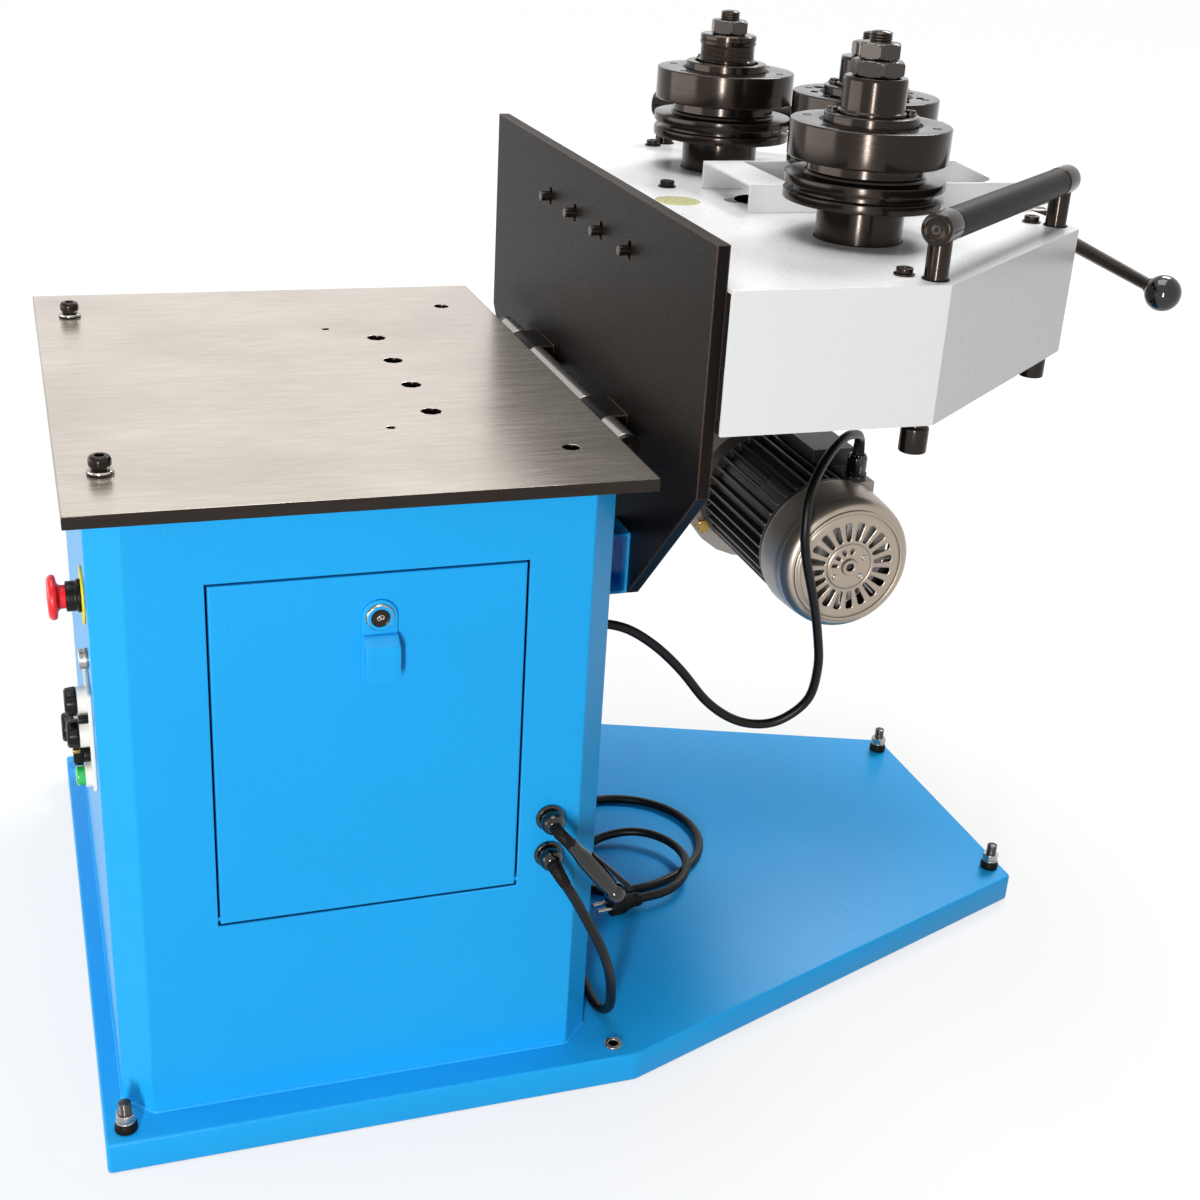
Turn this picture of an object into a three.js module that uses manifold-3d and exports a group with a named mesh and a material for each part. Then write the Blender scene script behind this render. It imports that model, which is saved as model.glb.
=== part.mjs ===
// Ring roller: a steel cabinet on a tray base, a table with a hinged tilt plate,
// and a three-roll bending head with a geared drive, a slide screw and a motor.
// Millimetres, +Z up, the floor at z = 0, +X towards the crank end, -Y towards the door.
import * as THREE from 'three';
import { mergeVertices } from 'three/addons/utils/BufferGeometryUtils.js';
import Module from 'manifold-3d';

const wasm = await Module();
wasm.setup();

// Shared clearances
const gap = 0.3;
const overrun = 10;
const sheet = 3;

// Base tray
const baseLeft = -255;
const baseRight = 837;
const baseBend = 274;
const baseHalf = 378;
const baseRightHalf = 176;
const baseHeight = 34;
const baseLip = 26;
const stiffenerWidth = 60;
const stiffenerPitch = 200;
const frameBottom = 3.3;
const footPlate = 60;

// Levelling bolts
const boltInset = 20;
const boltRightInsetX = 17;
const boltRightInsetY = 14;
const boltRadius = 5.2;
const boltTop = 33;
const boltNut = 8;
const boltNutHeight = 9;
const cupRadius = 10;
const cupHeight = 10;
const bushRadius = 8.5;
const bushHeight = 2.5;

// Cabinet
const cabinetHalfX = 235;
const cabinetHalfY = 342;
const cabinetChamfer = 28;
const cabinetLip = 24;
const doorLeft = -140;
const doorRight = 147;
const doorBottom = 237;
const doorTop = 583;
const doorGap = 2.2;
const doorDepth = 18;
const doorPinInset = 4;
const doorPinRadius = 2;

// Table
const tableLeft = -251;
const tableRight = 263;
const tableHalf = 350;
const tableThickness = 12;
const tableTop = 656;
const clampHoleX = 105;
const clampHoleRadius = 9.5;
const clampHoleY = [43.5, 131];
const pinHoleX = 56;
const pinHoleY = 173;
const pinHoleRadius = 4;
const cornerLeftX = -214;
const cornerRightX = 209;
const cornerY = 255;
const cornerHoleRadius = 8;

// Switchgear panel
const panelDepth = 4;
const panelHalfX = 150;
const panelLow = 250;
const panelHigh = 600;
const railZ = [520, 440];
const deviceWidth = 46;
const deviceHeight = 74;
const deviceDepth = 70;

// Tilt hinge and tilt plate
const hingeX = 279.5;
const hingeZ = 639;
const barrelRadius = 12;
const hingePinRadius = 7;
const hingeHalf = 212;
const knuckleInner = 92;
const knuckleOuter = 158;
const knuckleGap = 1;
const plateFace = 299.5;
const plateThickness = 12.5;
const plateHalf = 349;
const plateBottomHalf = 189;
const plateBottom = 470;
const plateChamferTop = 633;
const plateTop = 865;
const stopOuterY = 189;
const stopWidth = 48;
const stopTop = 536;
const screwRadius = 5;
const screwOut = 11;
const screwRowZ = 810.5;
const slotHalfHeight = 9.5;

// Roller head
const headCentre = 13;
const headBottom = 696;
const headTop = 828;
const headBend = 525;
const headRight = 795;
const headHalf = 374;
const headRightHalf = 162;
const coverWall = 4;
const bottomPlate = 14;
const wallPlate = 12;
const gearTop = 741;
const midPlate = 12;
const slotLeft = 527;
const slotRight = 724;
const slotHalf = 47;
const coverPlugX = 404;
const coverPlugRadius = 24;
const coverPlugDip = 1;
const oilHoleX = 470;
const oilHoleRadius = 12;
const channelLeft = 457;
const channelRoof = 503;
const channelHalf = 66;
const channelHeight = 30;
const channelSlope = 768;
const channelEnd = 818;

// Rolls: two driven ones and a centre one on the slide
const rollX = 525;
const rollSpacing = 184;
const centreRollX = 612;
const housingRadius = 43;
const housingTop = 862;
const shaftRadius = 15;
const rollRadius = 78.5;
const neckRadius = 59;
const thinFlange = 9;
const thinGroove = 7;
const neckHeight = 15;
const upperHeight = 35;
const collarRadius = 46;
const collarHeight = 8;
const recess = 4;
const pinHoleCount = 6;
const sleeveRadius = 31;
const sleeveHeights = [30, 34, 30];
const nutPitch = 16;
const nutSets = [[22], [27, 22], [22]];

// Gear train between the driven rolls
const idlerTeeth = 18;
const gearTeeth = 36;
const gearWidth = 26;
const backlash = 0.6;
const addendumShare = 0.9;
const dedendumShare = 1.2;
const pressureAngle = Math.PI / 9;

// Slide and crank
const blockHalfX = 62;
const blockHalfY = 50;
const blockTop = 820;
const screwZ = 800;
const spindleRadius = 12;
const spindleCollar = 18;
const spindleEnd = 866;
const hubLeft = 834;
const hubWidth = 22;
const hubRadius = 17;
const leverLength = 253.7;
const leverRadius = 6.5;
const leverDrop = 4.2;
const ballRadius = 18.5;

// Handles
const handleLeftX = 520;
const handleLeftY = 352;
const handleRightX = 777;
const handleRightY = 144;
const handleZ = 875;
const postRadius = 11;
const gripRadius = 14;
const capRadius = 15;
const capLength = 16;
const postBottom = 664;
const nutRadius = 13.5;

// Motor and worm gearbox
const motorX = 570;
const motorZ = 463;
const motorFace = -155;
const fanCoverLength = 58;
const motorRadius = 79.5;
const faceRadius = 63.5;
const shoulderRadius = 74;
const finRadius = 77;
const coreRadius = 68;
const finCount = 36;
const flangeY = 99;
const flangeRadius = 93;
const flangeWidth = 12;
const gearboxLength = 160;
const gearboxHalfX = 68;
const gearboxHalfZ = 54;
const gearboxNeck = 42;
const gearboxFoot = 58;
const drainX = 68;
const drainZ = 46;
const motorShaft = 9;
const finFootShare = 0.3;
const finTipShare = 0.18;
const coverSheet = 2;
const grilleRings = [
  { count: 21, slotWidth: 5.6, innerShare: 0.48, outerShare: 0.82 },
  { count: 8, slotWidth: 4.8, innerShare: 0.26, outerShare: 0.38 },
];
const fanRadius = 62;
const fanHub = 18;
const fanFront = 12;
const fanBack = 36;
const bladeCount = 8;

// Terminal box on the motor
const boxLeft = 574;
const boxRight = 625;
const boxFront = -34;
const boxBack = 58;
const boxHeight = 15;
const shelfLeft = 598;
const shelfFront = -90;
const shelfDrop = 6;
const shelfDepth = 42;
const boxGlandX = 612;
const boxGlandY = -68;
const boxGlandRadius = 11;
const boxGlandCap = 9.5;
const glandNut = 14;
const entryHeight = 26;

// Controls on the left face
const controlInset = 102;
const controlY = -cabinetHalfY + controlInset;
const panelInset = 80;
const panelWidth = 84;
const stopZ = 537.5;
const stopDisc = 28;
const stopCollar = 13.5;
const stopStem = 10.5;
const mushroom = 20.2;
const keyZ = 475;
const panelFront = -cabinetHalfY + panelInset;
const panelBack = panelFront + panelWidth;
const panelBottom = 340;
const panelTop = 462;
const panelThickness = 4;
const stopDiscThickness = 2;
const stopCollarHeight = 15;
const stopTravel = 4;
const stopStemHeight = 22;
const mushroomHeight = 9.5;
const keyRadius = 9.5;
const keyHeight = 5.5;
const bevel = 2;
const knobRadius = 13.8;
const knobHeight = 11;
const knobBase = 8.5;
const bigKnobRadius = 14.5;
const bigKnobBase = 12;
const lampRadius = 4.2;
const lampHeight = 9;
const selectorRadius = 6.5;
const selectorBlade = 15;
const greenRadius = 9.6;
const greenTravel = 3;
const greenHeight = 14;
const greenBase = 6;
const bigKnobInset = 57;
const lampInset = 6;
const knobZ = [433, 399.5];
const bigKnobY = panelFront + bigKnobInset;
const bigKnobZ = 388.5;
const lampY = panelFront + lampInset;
const lampZ = 422;
const selectorZ = 377;
const greenZ = 355;

// Door lock and pull tab
const lockX = 10;
const lockZ = 541;
const lockRadius = 13;
const pullHalf = 15.5;
const pullDrop = 36;
const pullOut = 16;
const pullSlope = 10;
const pullTop = 526;
const pullBottom = 484;

// Cords
const glandX = 177;
const glandUpperZ = 311;
const glandLowerZ = 270;
const glandBall = 12;
const glandRing = 14;
const glandRingDepth = 6;
const glandLength = 21;
const bushingRadius = 11;
const bushingLength = 12;
const couplerNeck = 6.3;
const couplerRadius = 9;
const leverLift = 11.6;
const leverWidth = 6;
const leverThickness = 4;
const elbowSteps = 8;
const hexSides = 6;
const cordRadius = 5.2;
const cordSides = 6;
const leadSteps = 36;
const cableSteps = 46;
const coilSides = 6;
const coilSteps = 24;
const coilTurns = 1.75;
const loopOne = [390, 7];
const loopOneRadius = 97;
const loopTwo = [375, -60];
const loopTwoRadius = 70;
const layerRise = 12;
const driftShare = [0.62, 1.05];
const riseShare = [1.12, 1.36];
const fallShare = [1.56, 1.74];
const plugRadius = 13;
const plugNeck = 9;
const plugSleeve = 16;
const plugLength = 40;
const pinRadius = 2.4;
const pinLength = 19;

// Sizes that follow
const baseSkin = baseHeight - sheet;
const tableUnder = tableTop - tableThickness;
const doorFace = -cabinetHalfY;
const plateBack = plateFace + plateThickness;
const headFace = plateBack + gap;
const lowerPlateTop = headBottom + bottomPlate;
const gearBottom = gearTop - gearWidth;
const midBottom = gearTop + coverWall;
const midTop = midBottom + midPlate;
const coverInside = headTop - coverWall;
const rollBottom = housingTop + sheet;
const upperBottom = rollBottom + 2 * thinFlange + thinGroove + neckHeight + gap;
const ringsTop = upperBottom + upperHeight + collarHeight;
const gearModule = 2 * rollSpacing / (idlerTeeth + gearTeeth);
const motorBodyFront = motorFace + fanCoverLength;
const boxBottom = motorZ + finRadius + gap;
const boxTop = boxBottom + boxHeight;
const shelfTop = boxBottom - shelfDrop;
const drivenY = [headCentre + rollSpacing, headCentre - rollSpacing];

// Materials
const paint = (name, color, roughness, metalness) =>
  Object.assign(new THREE.MeshStandardMaterial({ color, roughness, metalness }), { name });
const bluePaint = () => paint('blue_paint', 0x2296e0, 0.35, 0.1);
const whitePaint = () => paint('white_paint', 0xefefec, 0.3, 0.1);
const blackPaint = () => paint('black_paint', 0x24211f, 0.55, 0.1);
const blackOxide = () => paint('black_oxide', 0x2a2725, 0.35, 0.8);
const brushedSteel = () => paint('brushed_steel', 0xb8afa6, 0.4, 1);
const brightSteel = () => paint('bright_steel', 0xc8c4be, 0.25, 1);
const castAluminium = () => paint('aluminium', 0xb5ada4, 0.45, 0.9);
const darkCasting = () => paint('dark_casting', 0x3a3a3a, 0.5, 0.4);
const blackPlastic = () => paint('black_plastic', 0x1c1b1a, 0.45, 0);
const blackRubber = () => paint('black_rubber', 0x191817, 0.7, 0);
const whitePlastic = () => paint('white_plastic', 0xede8de, 0.4, 0);
const redPlastic = () => paint('red_plastic', 0xf01523, 0.35, 0);
const yellowPlastic = () => paint('yellow_plastic', 0xffd51f, 0.4, 0);
const greenPlastic = () => paint('green_plastic', 0x0ba83c, 0.35, 0);
const brass = () => paint('brass', 0xb08a4a, 0.35, 1);

// Facets round a turned piece
const fine = 24;
const plain = 16;
const coarse = 8;

// Geometry helpers

// Keeps only positions, shares the vertices and drops faces that have no area.
function bare(geometry) {
  const copy = geometry.clone();
  for (const name of Object.keys(copy.attributes)) {
    if (name !== 'position') copy.deleteAttribute(name);
  }
  const merged = mergeVertices(copy, 1e-4);
  const source = merged.index.array;
  const kept = [];
  for (let i = 0; i < source.length; i += 3) {
    const [a, b, c] = [source[i], source[i + 1], source[i + 2]];
    if (a !== b && b !== c && a !== c) kept.push(a, b, c);
  }
  merged.setIndex(kept);
  merged.clearGroups();
  return merged;
}

function toSolid(geometry) {
  const merged = bare(geometry);
  return new wasm.Manifold(new wasm.Mesh({
    numProp: 3,
    vertProperties: Float32Array.from(merged.attributes.position.array),
    triVerts: Uint32Array.from(merged.index.array),
  }));
}

function fromSolid(solid) {
  const mesh = solid.getMesh();
  const geometry = new THREE.BufferGeometry();
  geometry.setAttribute('position', new THREE.BufferAttribute(mesh.vertProperties, 3));
  geometry.setIndex(new THREE.BufferAttribute(mesh.triVerts, 1));
  return geometry;
}

// Cuts the tools out of a body.
function cut(body, ...tools) {
  let solid = toSolid(body);
  for (const tool of tools.flat()) solid = solid.subtract(toSolid(tool));
  return fromSolid(solid);
}

// Joins pieces into one body.
function join(...pieces) {
  const [first, ...rest] = pieces.flat();
  let solid = toSolid(first);
  for (const piece of rest) solid = solid.add(toSolid(piece));
  return fromSolid(solid);
}

// A box between two corners.
function block(x0, x1, y0, y1, z0, z1) {
  const geometry = new THREE.BoxGeometry(x1 - x0, y1 - y0, z1 - z0);
  return geometry.translate((x0 + x1) / 2, (y0 + y1) / 2, (z0 + z1) / 2);
}

// A closed profile of [radius, height] points turned about +Z.
function turned(profile, segments = plain) {
  const points = profile.map(([r, z]) => new THREE.Vector2(r, z));
  return new THREE.LatheGeometry(points, segments).rotateX(Math.PI / 2);
}

const rod = (radius, z0, z1, segments = coarse) =>
  turned([[0, z0], [radius, z0], [radius, z1], [0, z1]], segments);

// A round cutting tool whose flats, not its corners, lie on the radius.
const hole = (radius, z0, z1, segments = plain) =>
  rod(radius / Math.cos(Math.PI / segments), z0, z1, segments);

const ring = (inner, outer, z0, z1, segments = plain) =>
  turned([[inner, z0], [outer, z0], [outer, z1], [inner, z1], [inner, z0]], segments);

// Turn a piece built along +Z to another way.
const alongX = (geometry) => geometry.rotateY(Math.PI / 2);
const alongMinusX = (geometry) => geometry.rotateY(-Math.PI / 2);
const alongY = (geometry) => geometry.rotateX(-Math.PI / 2);
const alongMinusY = (geometry) => geometry.rotateX(Math.PI / 2);

// An outline in X and Y raised from z0 to z1.
function raised(outline, z0, z1) {
  const shape = new THREE.Shape(outline.map(([x, y]) => new THREE.Vector2(x, y)));
  const geometry = new THREE.ExtrudeGeometry(shape, { depth: z1 - z0, bevelEnabled: false });
  return geometry.translate(0, 0, z0);
}

// Moves each edge of a convex outline inwards and meets the edges again.
function inset(outline, distance) {
  const count = outline.length;
  const edges = outline.map(([x, y], i) => {
    const [u, v] = outline[(i + 1) % count];
    const length = Math.hypot(u - x, v - y);
    const [nx, ny] = [-(v - y) / length, (u - x) / length];
    return { nx, ny, c: nx * x + ny * y + distance };
  });
  return edges.map((edge, i) => {
    const before = edges[(i + count - 1) % count];
    const det = before.nx * edge.ny - before.ny * edge.nx;
    return [
      (before.c * edge.ny - before.ny * edge.c) / det,
      (before.nx * edge.c - before.c * edge.nx) / det,
    ];
  });
}

const chamferedBox = (halfX, halfY, chamfer) => [
  [-halfX + chamfer, -halfY], [halfX - chamfer, -halfY],
  [halfX, -halfY + chamfer], [halfX, halfY - chamfer],
  [halfX - chamfer, halfY], [-halfX + chamfer, halfY],
  [-halfX, halfY - chamfer], [-halfX, -halfY + chamfer],
];

// A round cord along hand-set points.
function cord(points, radius, steps) {
  const curve = new THREE.CatmullRomCurve3(
    points.map(([x, y, z]) => new THREE.Vector3(x, y, z)), false, 'centripetal');
  const section = new THREE.Shape();
  for (let i = 0; i < cordSides; i += 1) {
    const angle = 2 * Math.PI * i / cordSides;
    const [x, y] = [radius * Math.cos(angle), radius * Math.sin(angle)];
    if (i === 0) section.moveTo(x, y);
    else section.lineTo(x, y);
  }
  return new THREE.ExtrudeGeometry(section, { steps, extrudePath: curve, bevelEnabled: false });
}

// A tube through closely spaced points, with a flat cap at each end.
function sweep(points, radius, sides) {
  const positions = [];
  const index = [];
  const up = new THREE.Vector3(0, 0, 1);
  const last = points.length - 1;
  points.forEach((point, i) => {
    const along = points[Math.min(i + 1, last)].clone().sub(points[Math.max(i - 1, 0)]).normalize();
    const side = new THREE.Vector3().crossVectors(up, along).normalize();
    const top = new THREE.Vector3().crossVectors(along, side);
    for (let j = 0; j < sides; j += 1) {
      const angle = 2 * Math.PI * j / sides;
      const corner = point.clone()
        .addScaledVector(side, radius * Math.cos(angle))
        .addScaledVector(top, radius * Math.sin(angle));
      positions.push(corner.x, corner.y, corner.z);
    }
  });
  for (let i = 0; i < last; i += 1) {
    for (let j = 0; j < sides; j += 1) {
      const k = (j + 1) % sides;
      const [a, b] = [i * sides + j, i * sides + k];
      const [c, d] = [a + sides, b + sides];
      index.push(a, b, c, b, d, c);
    }
  }
  for (let j = 1; j < sides - 1; j += 1) {
    index.push(0, j + 1, j);
    const end = last * sides;
    index.push(end, end + j, end + j + 1);
  }
  const geometry = new THREE.BufferGeometry();
  geometry.setAttribute('position', new THREE.Float32BufferAttribute(positions, 3));
  geometry.setIndex(index);
  return geometry;
}

const model = new THREE.Group();
model.name = 'ring_roller';

function add(name, geometry, material) {
  const shared = bare(geometry);
  shared.computeVertexNormals();
  const mesh = new THREE.Mesh(shared, material);
  mesh.name = name;
  model.add(mesh);
}

// Base: a folded tray with a return lip and three channels under its top
function baseOutline() {
  return [
    [baseLeft, -baseHalf], [baseBend, -baseHalf], [baseRight, -baseRightHalf],
    [baseRight, baseRightHalf], [baseBend, baseHalf], [baseLeft, baseHalf],
  ];
}

const levelPlaces = [
  [baseLeft + boltInset, -baseHalf + boltInset],
  [baseLeft + boltInset, baseHalf - boltInset],
  [baseRight - boltRightInsetX, -baseRightHalf + boltRightInsetY + boltInset / 2],
  [baseRight - boltRightInsetX, baseRightHalf - boltRightInsetY - boltInset / 2],
];
const bushPlaces = [
  [baseBend - boltInset, -baseHalf + boltInset],
  [baseBend - boltInset, baseHalf - boltInset],
];

function addBase() {
  const outline = baseOutline();
  const places = [...levelPlaces, ...bushPlaces];
  const holes = places.map(([x, y]) =>
    hole(boltRadius + gap, baseSkin - overrun, baseHeight + overrun, coarse).translate(x, y, 0));
  const bushes = bushPlaces.map(([x, y]) =>
    ring(boltRadius + gap, bushRadius, baseHeight - gap, baseHeight + bushHeight, coarse)
      .translate(x, y, 0));
  const tray = cut(
    raised(outline, 0, baseHeight),
    raised(inset(outline, sheet), sheet, baseSkin),
    raised(inset(outline, baseLip), -overrun, sheet + gap),
    holes,
  );
  add('base_tray', join(tray, bushes), bluePaint());
}

// Ladder frame under the tray: three long channels, two end bars and the levelling studs
function addBaseFrame() {
  const inner = sheet + gap;
  const left = baseLeft + inner;
  const right = baseRight - inner;
  const halfBar = stiffenerWidth / 2;
  const longRight = [baseBend, right - gap, baseBend];
  const channels = [-stiffenerPitch, 0, stiffenerPitch].map((y, i) =>
    block(left + halfBar, longRight[i], y - halfBar, y + halfBar, frameBottom, baseSkin - gap));
  const hollows = [-stiffenerPitch, 0, stiffenerPitch].map((y, i) =>
    block(left + stiffenerWidth, longRight[i] - stiffenerWidth / 2, y - halfBar + sheet,
      y + halfBar - sheet, frameBottom + sheet, baseSkin + overrun));
  const leftHalf = baseHalf - inner;
  const rightHalf = baseRightHalf - inner;
  const bars = [
    block(left, left + stiffenerWidth, -leftHalf, leftHalf, frameBottom, baseSkin - gap),
    block(right - halfBar, right, -rightHalf, rightHalf, frameBottom, baseSkin - gap),
  ];
  const foot = block(-footPlate, footPlate, -halfBar, halfBar, 0, frameBottom + sheet);
  const studs = levelPlaces.map(([x, y]) => join(
    rod(boltRadius, baseSkin - 2 * sheet, baseHeight + boltTop, coarse),
    turned([
      [0, baseHeight + gap], [cupRadius, baseHeight + gap],
      [cupRadius, baseHeight + cupHeight / 2], [boltNut, baseHeight + cupHeight],
      [boltNut, baseHeight + cupHeight + boltNutHeight],
      [0, baseHeight + cupHeight + boltNutHeight],
    ], coarse),
  ).translate(x, y, 0));
  add('base_frame', join(cut(join(channels, bars), hollows), foot, studs), bluePaint());
}

// Cabinet: a folded shell with a door opening, top and bottom lips and two stops
function addCabinet() {
  const outline = chamferedBox(cabinetHalfX, cabinetHalfY, cabinetChamfer);
  const doorway = block(doorLeft, doorRight, doorFace - overrun, doorFace + cabinetLip,
    doorBottom, doorTop);
  const shell = cut(
    raised(outline, baseHeight, tableUnder),
    raised(inset(outline, sheet), baseHeight + sheet, tableUnder - sheet),
    raised(inset(outline, cabinetLip), baseHeight - overrun, baseHeight + sheet + gap),
    raised(inset(outline, cabinetLip), tableUnder - sheet - gap, tableUnder + overrun),
    doorway,
  );
  const stops = [-1, 1].map((side) => cut(
    block(cabinetHalfX, plateFace - gap, stopOuterY - stopWidth, stopOuterY,
      plateBottom, stopTop),
    block(cabinetHalfX + sheet, plateFace - gap - sheet, stopOuterY - stopWidth - overrun,
      stopOuterY + overrun, plateBottom + sheet, stopTop - sheet),
  ).scale(1, side, 1)).map((piece, i) => (i === 0 ? flipped(piece) : piece));
  const pinZ = doorBottom + doorGap + doorPinInset;
  const pinY = doorFace + doorPinInset;
  const lugs = [doorLeft, doorRight].map((x) => {
    const side = Math.sign(x);
    const [a, b] = [x, x + side * doorDepth].sort((p, q) => p - q);
    const lug = block(a, b, doorFace + sheet - gap, doorFace + doorDepth,
      pinZ - doorPinInset, pinZ + doorPinInset);
    const pin = alongX(rod(doorPinRadius, -doorDepth / 2, doorDepth / 2, coarse));
    return join(lug, pin.translate(x, pinY, pinZ));
  });
  const [, cableY, cableZ] = motorCablePoints.at(-1);
  const bushing = alongX(turned([
    [0, -gap], [bushingRadius, -gap], [bushingRadius, bushingLength / 2],
    [bushingRadius - sheet, bushingLength], [0, bushingLength],
  ], coarse))
    .translate(cabinetHalfX, cableY, cableZ);
  add('cabinet_shell', join(shell, stops, lugs, bushing), bluePaint());
}

// Turns every face round after a mirrored scale.
function flipped(geometry) {
  const merged = bare(geometry);
  const index = merged.index.array;
  for (let i = 0; i < index.length; i += 3) {
    [index[i], index[i + 1]] = [index[i + 1], index[i]];
  }
  return merged;
}

// Door: a shallow tray with holes for its hinge pins, a pull tab and a cam lock
function addDoor() {
  const [x0, x1] = [doorLeft + doorGap, doorRight - doorGap];
  const [z0, z1] = [doorBottom + doorGap, doorTop - doorGap];
  const pinZ = z0 + doorPinInset;
  const pinY = doorFace + doorPinInset;
  const panel = cut(
    block(x0, x1, doorFace, doorFace + doorDepth, z0, z1),
    block(x0 + sheet, x1 - sheet, doorFace + sheet, doorFace + doorDepth + overrun,
      z0 + sheet, z1 - sheet),
    alongX(hole(doorPinRadius + gap, x0 - overrun, x1 + overrun, coarse)).translate(0, pinY, pinZ),
  );
  const tab = [
    [0, pullTop], [-sheet, pullTop], [-pullOut, pullTop - pullSlope],
    [-pullOut, pullBottom], [-pullOut + sheet, pullBottom],
    [-pullOut + sheet, pullTop - pullSlope - sheet / 2], [0, pullTop - sheet * 2],
  ];
  const pull = raised(tab, -pullHalf, pullHalf);
  const basis = new THREE.Matrix4().set(
    0, 0, 1, lockX, 1, 0, 0, doorFace - gap - sheet, 0, 1, 0, 0, 0, 0, 0, 1);
  const backing = cut(
    join(
      block(lockX - pullHalf, lockX + pullHalf, doorFace - gap - sheet, doorFace - gap,
        pullBottom + sheet, lockZ),
      alongMinusY(rod(pullHalf, gap, gap + sheet, plain)).translate(lockX, doorFace, lockZ),
    ),
    alongMinusY(hole(lockRadius - sheet, -overrun, overrun))
      .translate(lockX, doorFace, lockZ),
  );
  add('door_pull', join(pull.applyMatrix4(basis), backing), bluePaint());

  const lockFront = gap + sheet;
  const barrel = alongMinusY(turned([
    [lockRadius - 4 * sheet / 3 - gap, -doorDepth], [lockRadius - sheet - gap, -doorDepth],
    [lockRadius - sheet - gap, lockFront + gap], [lockRadius, lockFront + gap],
    [lockRadius - sheet / 2, lockFront + sheet],
    [lockRadius - 4 * sheet / 3 - gap, lockFront + sheet],
    [lockRadius - 4 * sheet / 3 - gap, -doorDepth],
  ], plain)).translate(lockX, doorFace, lockZ);
  const coreHole = alongMinusY(hole(lockRadius - 4 * sheet / 3 - gap, -overrun, overrun))
    .translate(lockX, doorFace, lockZ);
  add('cabinet_door', cut(join(panel, barrel), coreHole), bluePaint());

  const coreRadiusHere = lockRadius - 4 * sheet / 3 - 2 * gap;
  const core = alongMinusY(rod(coreRadiusHere, -doorDepth - 2 * sheet, lockFront + sheet / 2, plain))
    .translate(lockX, doorFace, lockZ);
  const cam = block(lockX, lockX + pullDrop + lockRadius, doorFace + doorDepth + gap,
    doorFace + doorDepth + gap + sheet, lockZ - lockRadius / 2, lockZ + lockRadius / 2);
  const keyway = block(lockX - lockRadius / 4, lockX + lockRadius / 4,
    doorFace - lockFront - overrun, doorFace - lockFront, lockZ - sheet / 4, lockZ + sheet / 4);
  add('lock_core', cut(join(core, cam), keyway), blackPlastic());
}

// Switchgear: a panel inside the cabinet with contactors, a relay and a transformer
function addSwitchgear() {
  const back = cabinetHalfY - sheet - gap;
  const face = back - 2 * overrun;
  const spacers = [-1, 1].flatMap((sx) => [panelLow, panelHigh].map((z) =>
    alongY(rod(sheet * 2, 0, 2 * overrun - gap, coarse))
      .translate(sx * (panelHalfX - overrun), face, z + (z === panelLow ? overrun : -overrun))));
  const panel = block(-panelHalfX, panelHalfX, face - panelDepth, face + gap,
    panelLow, panelHigh);
  add('switch_panel', join(panel, spacers), brightSteel());

  const deviceBack = face - panelDepth - gap;
  const front = deviceBack - deviceDepth;
  const devices = railZ.flatMap((z, row) => [-2, -1, 0, 1].slice(row).map((i) => {
    const x = i * (deviceWidth + overrun) + overrun;
    const low = z - deviceHeight / 2;
    return join(
      block(x, x + deviceWidth, front, deviceBack, low, z + deviceHeight / 4),
      block(x, x + deviceWidth, deviceBack - deviceDepth / 2, deviceBack, low, z + deviceHeight / 2),
    );
  }));
  const transformerLow = panelLow + 2 * overrun;
  const transformer = block(-deviceWidth, deviceWidth, front, deviceBack, transformerLow,
    transformerLow + deviceHeight);
  const railHalf = 2 * deviceWidth + overrun;
  const rails = railZ.map((z) =>
    block(-railHalf, railHalf, deviceBack - overrun, deviceBack, z - overrun, z + overrun));
  const upright = block(-overrun, overrun, deviceBack - overrun, deviceBack, panelLow + 3 * overrun,
    railZ[0]);
  add('switchgear', join(devices, transformer, rails, upright), blackPlastic());
}

// Table: a steel plate with the clamp, pin and corner holes
function addTable() {
  const through = (radius, x, y) =>
    hole(radius, tableUnder - overrun, tableTop + overrun, coarse).translate(x, y, 0);
  const sides = [-1, 1];
  add('table_top', cut(
    block(tableLeft, tableRight, -tableHalf, tableHalf, tableUnder, tableTop),
    clampHoleY.flatMap((y) => sides.map((s) => through(clampHoleRadius, clampHoleX, s * y))),
    sides.map((s) => through(pinHoleRadius, pinHoleX, s * pinHoleY)),
    [cornerLeftX, cornerRightX].flatMap((x) =>
      sides.map((s) => through(cornerHoleRadius, x, s * cornerY))),
  ), brushedSteel());

}

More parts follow.
